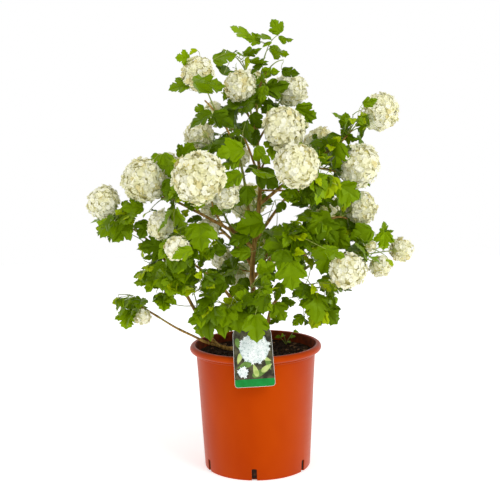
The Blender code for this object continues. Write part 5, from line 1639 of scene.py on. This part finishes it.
def build_soil():
    """The soil's lumpy plug, and crumbs, bark chips and perlite strewn over it."""
    earth = soil_earth()
    slope = (POT_WALL_TOP_RADIUS - POT_FOOT_RADIUS) / (POT_HEIGHT - 2 * RIM_ROLL)
    inner = POT_FOOT_RADIUS - POT_WALL - SOIL_SIDE_GAP
    top = inner + slope * SOIL_TOP
    low = POT_FLOOR + SOIL_SIDE_GAP
    profile = [(0, low), (inner + slope * low, low), (top, SOIL_TOP + SOIL_BANK)]
    profile += [(top * (1 - ring / SOIL_RINGS), SOIL_TOP) for ring in range(1, SOIL_RINGS + 1)]
    bm = turned(profile, SOIL_SEGMENTS)
    for vert in bm.verts:
        if vert.co.z > SOIL_TOP - MM and vert.co.xy.length < top - MM:
            vert.co.z += soil_height(vert.co.x, vert.co.y)
    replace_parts(show(bm, "soil_plug", earth, None), "potting_soil")

    bm = bmesh.new()
    bmesh.ops.create_icosphere(bm, subdivisions=1, radius=1)
    lump = Stamp(bm)
    rng = random.Random("soil")
    crumbs = [strewn(rng, lump, rng.uniform(*CRUMB_RADII) * rng.uniform(*CRUMB_SHARES),
                     CRUMB_SHAPE, top) for _ in range(CRUMBS)]
    lump.lay("soil_crumbs", crumbs, "potting_soil", earth)
    grains = [strewn(rng, lump, rng.uniform(*PERLITE_RADII), PERLITE_SHAPE, top)
              for _ in range(PERLITE_GRAINS)]
    lump.lay("perlite_grains", grains, "potting_soil", perlite())

    bm = bmesh.new()
    bmesh.ops.create_cube(bm, size=2)
    bmesh.ops.bevel(bm, geom=bm.edges[:], offset=CHIP_ROUNDING, segments=1, profile=0.5,
                    affect="EDGES", material=-1)
    flake = Stamp(bm)
    chips = [strewn(rng, flake, rng.uniform(*CHIP_LENGTHS) / 2, CHIP_SHAPE, top)
             for _ in range(CHIPS)]
    flake.lay("bark_chips", chips, "potting_soil", chip_wood(), SMOOTH_ANGLE)


def strewn(rng, stamp, size, shape, top):
    """A stamp's points dropped at random on the soil, uneven and half sunk in it."""
    width, height = shape
    away = (top - STREWN_EDGE) * math.sqrt(rng.uniform(0, 1))
    turn = rng.uniform(0, math.tau)
    x = away * math.cos(turn)
    y = away * math.sin(turn)
    spin = Matrix.Rotation(rng.uniform(0, math.tau), 3, "Z")
    tip = Matrix.Rotation(rng.uniform(-STREWN_TIP, STREWN_TIP), 3, "X")
    scale = Matrix.Diagonal((size, size * width, size * height))
    waves = np.sin(stamp.points * STREWN_WAVES + rng.uniform(0, STREWN_PHASES))
    uneven = stamp.points * (1 + STREWN_UNEVENNESS * waves)
    middle = (x, y, SOIL_TOP + soil_height(x, y) + STREWN_RISE * size * height)
    return uneven @ np.array(spin @ tip @ scale).T + middle


def tag_place():
    """The card's place: x across, z up from its foot, its front facing -y, leaning on the rim."""
    lean = Matrix.Rotation(-TAG_LEAN, 4, "X") @ Matrix.Rotation(TAG_TWIST, 4, "Y")
    rim_front = -RIM_RADIUS - TAG_SEAT
    lever = (POT_HEIGHT - RIM_ROLL - TAG_FOOT_Z) * math.tan(TAG_LEAN)
    return Matrix.Translation((TAG_MIDDLE_X, rim_front - lever, TAG_FOOT_Z)) @ lean


def card_outline(inset, low, high, foot_round, top_round):
    """The card's corners between two heights, drawn in by an inset, and each one's rounding."""
    corners = []
    for side, height, rounding in ((-1, low, foot_round), (1, low, foot_round),
                                   (1, high, top_round), (-1, high, top_round)):
        half = (TAG_WIDTH_FOOT + (TAG_WIDTH_TOP - TAG_WIDTH_FOOT) * height / TAG_HEIGHT) / 2
        corners.append((side * (half - inset), height, rounding))
    return corners


def slab(name, corners, back, thickness, place, skin):
    """A thin flat plate from corner points; rounded ones get an arc."""
    bm = bmesh.new()
    verts = [bm.verts.new((x, back, z)) for x, z, _ in corners]
    bm.faces.new(verts)
    for rounding in {rounding for _, _, rounding in corners if rounding}:
        rounded = [vert for vert, corner in zip(verts, corners) if corner[2] == rounding]
        bmesh.ops.bevel(bm, geom=rounded, offset=rounding, segments=CARD_ARC_PARTS, profile=0.5,
                        affect="VERTICES", material=-1)
    made = bmesh.ops.extrude_face_region(bm, geom=bm.faces[:])
    moved = [item for item in made["geom"] if isinstance(item, bmesh.types.BMVert)]
    bmesh.ops.translate(bm, vec=(0, -thickness, 0), verts=moved)
    bmesh.ops.transform(bm, matrix=place, verts=bm.verts)
    return show(bm, name, skin, CARD_SMOOTH_ANGLE)


def build_tag(limbs):
    """The printed card: a pale ground, a blossom, leaves and a green foot band, and its strap."""
    place = tag_place()
    white = plain_print("white polypropylene card", "E9EBE6", "F2F3EF")
    card = slab("tag_card", card_outline(0, 0, TAG_HEIGHT, TAG_CORNER, TAG_SHOULDER),
                TAG_THICKNESS, TAG_THICKNESS, place, white)
    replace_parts(card, "plant_tag")
    ground = plain_print("printed dark ground", "2A281A", "545239")
    slab("tag_print_ground",
         card_outline(TAG_MARGIN, TAG_BAND_HEIGHT, TAG_HEIGHT - TAG_MARGIN, 0,
                      TAG_SHOULDER - TAG_MARGIN), 0, PRINT_STEP, place, ground)
    green = plain_print("printed green band", "007C2C", "008A36")
    slab("tag_print_band", card_outline(TAG_MARGIN, TAG_MARGIN, TAG_BAND_HEIGHT,
                                        TAG_CORNER - TAG_MARGIN, 0),
         0, PRINT_STEP, place, green)
    build_print_motifs(place)
    build_strap(limbs, place)


def build_print_motifs(place):
    """A printed motif of the maker's own: a round head of rosettes over a fan of leaves."""
    bm = bmesh.new()
    made = bmesh.ops.create_circle(bm, cap_ends=True, segments=20, radius=0.5)
    for vert in made["verts"]:
        narrowed = PRINT_LEAF_WIDTH * math.sqrt(max(0, 0.5 - vert.co.x))
        vert.co = (vert.co.x, 0, vert.co.y * narrowed)
    bmesh.ops.remove_doubles(bm, verts=bm.verts, dist=MERGE_REACH)
    leaf = Stamp(bm)
    upright = Matrix.Rotation(math.pi / 2, 4, "X")
    bm = bmesh.new()
    bmesh.ops.create_circle(bm, cap_ends=True, segments=32, radius=1, matrix=upright)
    disc = Stamp(bm)
    bm = bmesh.new()
    bmesh.ops.create_circle(bm, cap_ends=True, segments=len(ROSETTE_NOTCHES) * PETALS, radius=1,
                            matrix=upright)
    for number, vert in enumerate(bm.verts):
        vert.co *= ROSETTE_NOTCHES[number % len(ROSETTE_NOTCHES)]
    rosette = Stamp(bm)
    leaves, light_leaves = ([(x, z, size, math.radians(turn)) for x, z, size, turn in table]
                            for table in (PRINT_DARK_LEAVES, PRINT_LIGHT_LEAVES))
    heads = [(x, z, reach - PRINT_HEAD_MARGIN, 0) for x, z, reach, _ in PRINT_HEADS]
    rosettes = []
    rng = random.Random("print")
    for x, z, reach, count in PRINT_HEADS:
        for number in range(count):
            away = reach * math.sqrt((number + 0.5) / count) * rng.uniform(*ROSETTE_REACHES)
            turn = number * GOLDEN_TURN + rng.uniform(-ROSETTE_SWAY, ROSETTE_SWAY)
            rosettes.append((x + away * math.cos(turn), z + away * math.sin(turn),
                             ROSETTE_RADIUS, rng.uniform(0, math.tau)))
    matrix = np.array(place)
    for name, level, stamp, spots, skin in (
            ("leaves_dark", 2, leaf, leaves, ("printed deep green", "5B7A34", "6E9242")),
            ("leaves_light", 4, leaf, light_leaves, ("printed leaf green", "9DB65C", "C0CE80")),
            ("heads", 6, disc, heads, ("printed pale shade", "B4C6C0", "CBD8D3")),
            ("rosettes", 8, rosette, rosettes, ("printed white", "DCE8E4", "F2F7F4"))):
        clouds = []
        for number, (x, z, size, turn) in enumerate(spots):
            flat = stamp.points @ np.array(Matrix.Rotation(turn, 3, "Y")).T * size * MM
            flat += (x * MM, -PRINT_STEP * (level + OVERPRINT * number), z * MM)
            clouds.append(flat @ matrix[:3, :3].T + matrix[:3, 3])
        stamp.lay(f"tag_print_{name}", clouds, "tag_card", plain_print(*skin))


def build_strap(limbs, place):
    """The tag's own strap, from the card's top to a loop round the trunk."""
    trunk = limbs["trunk"]["line"]
    share = (STRAP_RING_Z - trunk[0].z) / (trunk[-1].z - trunk[0].z)
    hub, axis = along(trunk, share)
    turn = UP.rotation_difference(axis).to_matrix().to_4x4()
    bm = bmesh.new()
    made = bmesh.ops.create_circle(bm, segments=STRAP_SEGMENTS, radius=STRAP_RING_RADIUS,
                                   matrix=Matrix.Translation(hub) @ turn)
    ring = list({edge for vert in made["verts"] for edge in vert.link_edges})
    raised = bmesh.ops.extrude_edge_only(bm, edges=ring)
    verts = [item for item in raised["geom"] if isinstance(item, bmesh.types.BMVert)]
    bmesh.ops.translate(bm, vec=axis * STRAP_WIDTH, verts=verts)
    bmesh.ops.translate(bm, vec=-axis * STRAP_WIDTH / 2, verts=bm.verts)
    bmesh.ops.recalc_face_normals(bm, faces=bm.faces)
    bmesh.ops.solidify(bm, geom=bm.faces[:], thickness=STRAP_THICKNESS)
    clear = plain_print("thin white strap plastic", "DDE3E4", "EEF1F1")
    show(bm, "strap_loop", clear)

    top = place @ Vector((0, TAG_THICKNESS / 2, TAG_HEIGHT - STRAP_WIDTH))
    reach = hub - (hub - top).normalized() * STRAP_RING_RADIUS
    bend = top.lerp(reach, STRAP_BEND_AT) + STRAP_ARCH * UP
    line = bend_line(top, bend, reach, STRAP_PARTS)
    bm = bmesh.new()
    side = Vector((STRAP_WIDTH / 2, 0, 0))
    start = [bm.verts.new(line[0] - side), bm.verts.new(line[0] + side)]
    edge = bm.edges.new(start)
    for a, b in zip(line, line[1:]):
        grown = bmesh.ops.extrude_edge_only(bm, edges=[edge])
        verts = [item for item in grown["geom"] if isinstance(item, bmesh.types.BMVert)]
        edge = next(item for item in grown["geom"] if isinstance(item, bmesh.types.BMEdge)
                    and all(vert in verts for vert in item.verts))
        bmesh.ops.translate(bm, vec=b - a, verts=verts)
    bmesh.ops.recalc_face_normals(bm, faces=bm.faces)
    bmesh.ops.solidify(bm, geom=bm.faces[:], thickness=STRAP_THICKNESS)
    show(bm, "strap_band", clear)


def build_twigs(grown, crown):
    """Woody stems, green shoots, side twigs and leaf stalks, each kind in one piece."""
    stems = [plant["stem"]["fine"] for plant in grown.values()]
    piece = bent_tubes("woody_twigs", stems, STEM_RADII, 9, "bark", woody_bark())
    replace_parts(piece, *MASSES)
    green = green_shoot("green viburnum shoot", "6E7E2E", "93A344")
    bent_tubes("green_shoots", crown.shoots, SHOOT_RADII, 7, "foliage", green)
    bent_tubes("side_twigs", crown.side_twigs, SIDE_RADII, 6, "foliage", green)
    bent_tubes("placed_twigs", crown.twigs, SIDE_RADII, 6, "foliage", green)
    stalk = green_shoot("leaf stalk", "8E9A3A", "A9B556")
    bent_tubes("leaf_stalks", crown.stalks, STALK_RADII, 5, "foliage", stalk)


def build_studio():
    """A pale floor under soft white light, and the camera at the photograph's angle."""
    bm = bmesh.new()
    bmesh.ops.create_circle(bm, cap_ends=True, segments=96, radius=FLOOR_RADIUS)
    mesh = bpy.data.meshes.new("floor")
    bm.to_mesh(mesh)
    bm.free()
    mesh.materials.append(mottled(
        "white studio paper", ((0.3, "F6F6F6"), (0.7, "FAFAFA")),
        {"Roughness": 0.9, "Specular IOR Level": 0.2, "Emission Color": (1, 1, 1, 1),
         "Emission Strength": 0.45}, 900 * MM))
    floor = bpy.data.objects.new("studio_floor", mesh)
    bpy.context.scene.collection.objects.link(floor)

    world = bpy.data.worlds.new("white studio")
    world.use_nodes = True
    tree = world.node_tree
    way = add(tree, "ShaderNodeTexCoord").outputs["Generated"]
    rise = add(tree, "ShaderNodeSeparateXYZ", {"Vector": way}).outputs["Z"]
    sky = add(tree, "ShaderNodeValToRGB", {"Fac": rise},
              ((0.2, "FFFFFF"), (0.36, "A8A8A8"), (0.6, "A8A8A8"), (0.75, "F0F0F0")))
    feed(tree.nodes["Background"], {"Color": sky.outputs["Color"], "Strength": 1.0})
    bpy.context.scene.world = world
    for name, place, power in SOFTBOXES:
        light = bpy.data.lights.new(name, "AREA")
        light.shape = "DISK"
        light.size = SOFTBOX_SIZE
        light.energy = power
        lamp = bpy.data.objects.new(name, light)
        lamp.location = place
        aim = SOFTBOX_AIM - lamp.location
        lamp.rotation_euler = aim.to_track_quat("-Z", "Y").to_euler()
        bpy.context.scene.collection.objects.link(lamp)

    camera = bpy.data.cameras.new("photograph's view")
    camera.sensor_width = CAMERA_SENSOR
    camera.lens = CAMERA_LENS
    seen = bpy.data.objects.new("photograph's view", camera)
    seen.matrix_world = EYE
    bpy.context.scene.collection.objects.link(seen)
    bpy.context.scene.camera = seen
    bpy.context.scene.view_settings.view_transform = "Standard"


def main():
    """Grow the bush, then make each piece, its studio and its camera."""
    space = Space()
    limbs = grow_limbs()
    grown = grow_frame(limbs, space)
    crown = dress(grown, space)
    grow_sprout(crown)
    build_bark(limbs)
    build_twigs(grown, crown)
    build_leaves(crown)
    build_blossom(grown)
    build_pot()
    build_soil()
    build_tag(limbs)
    build_studio()


main()
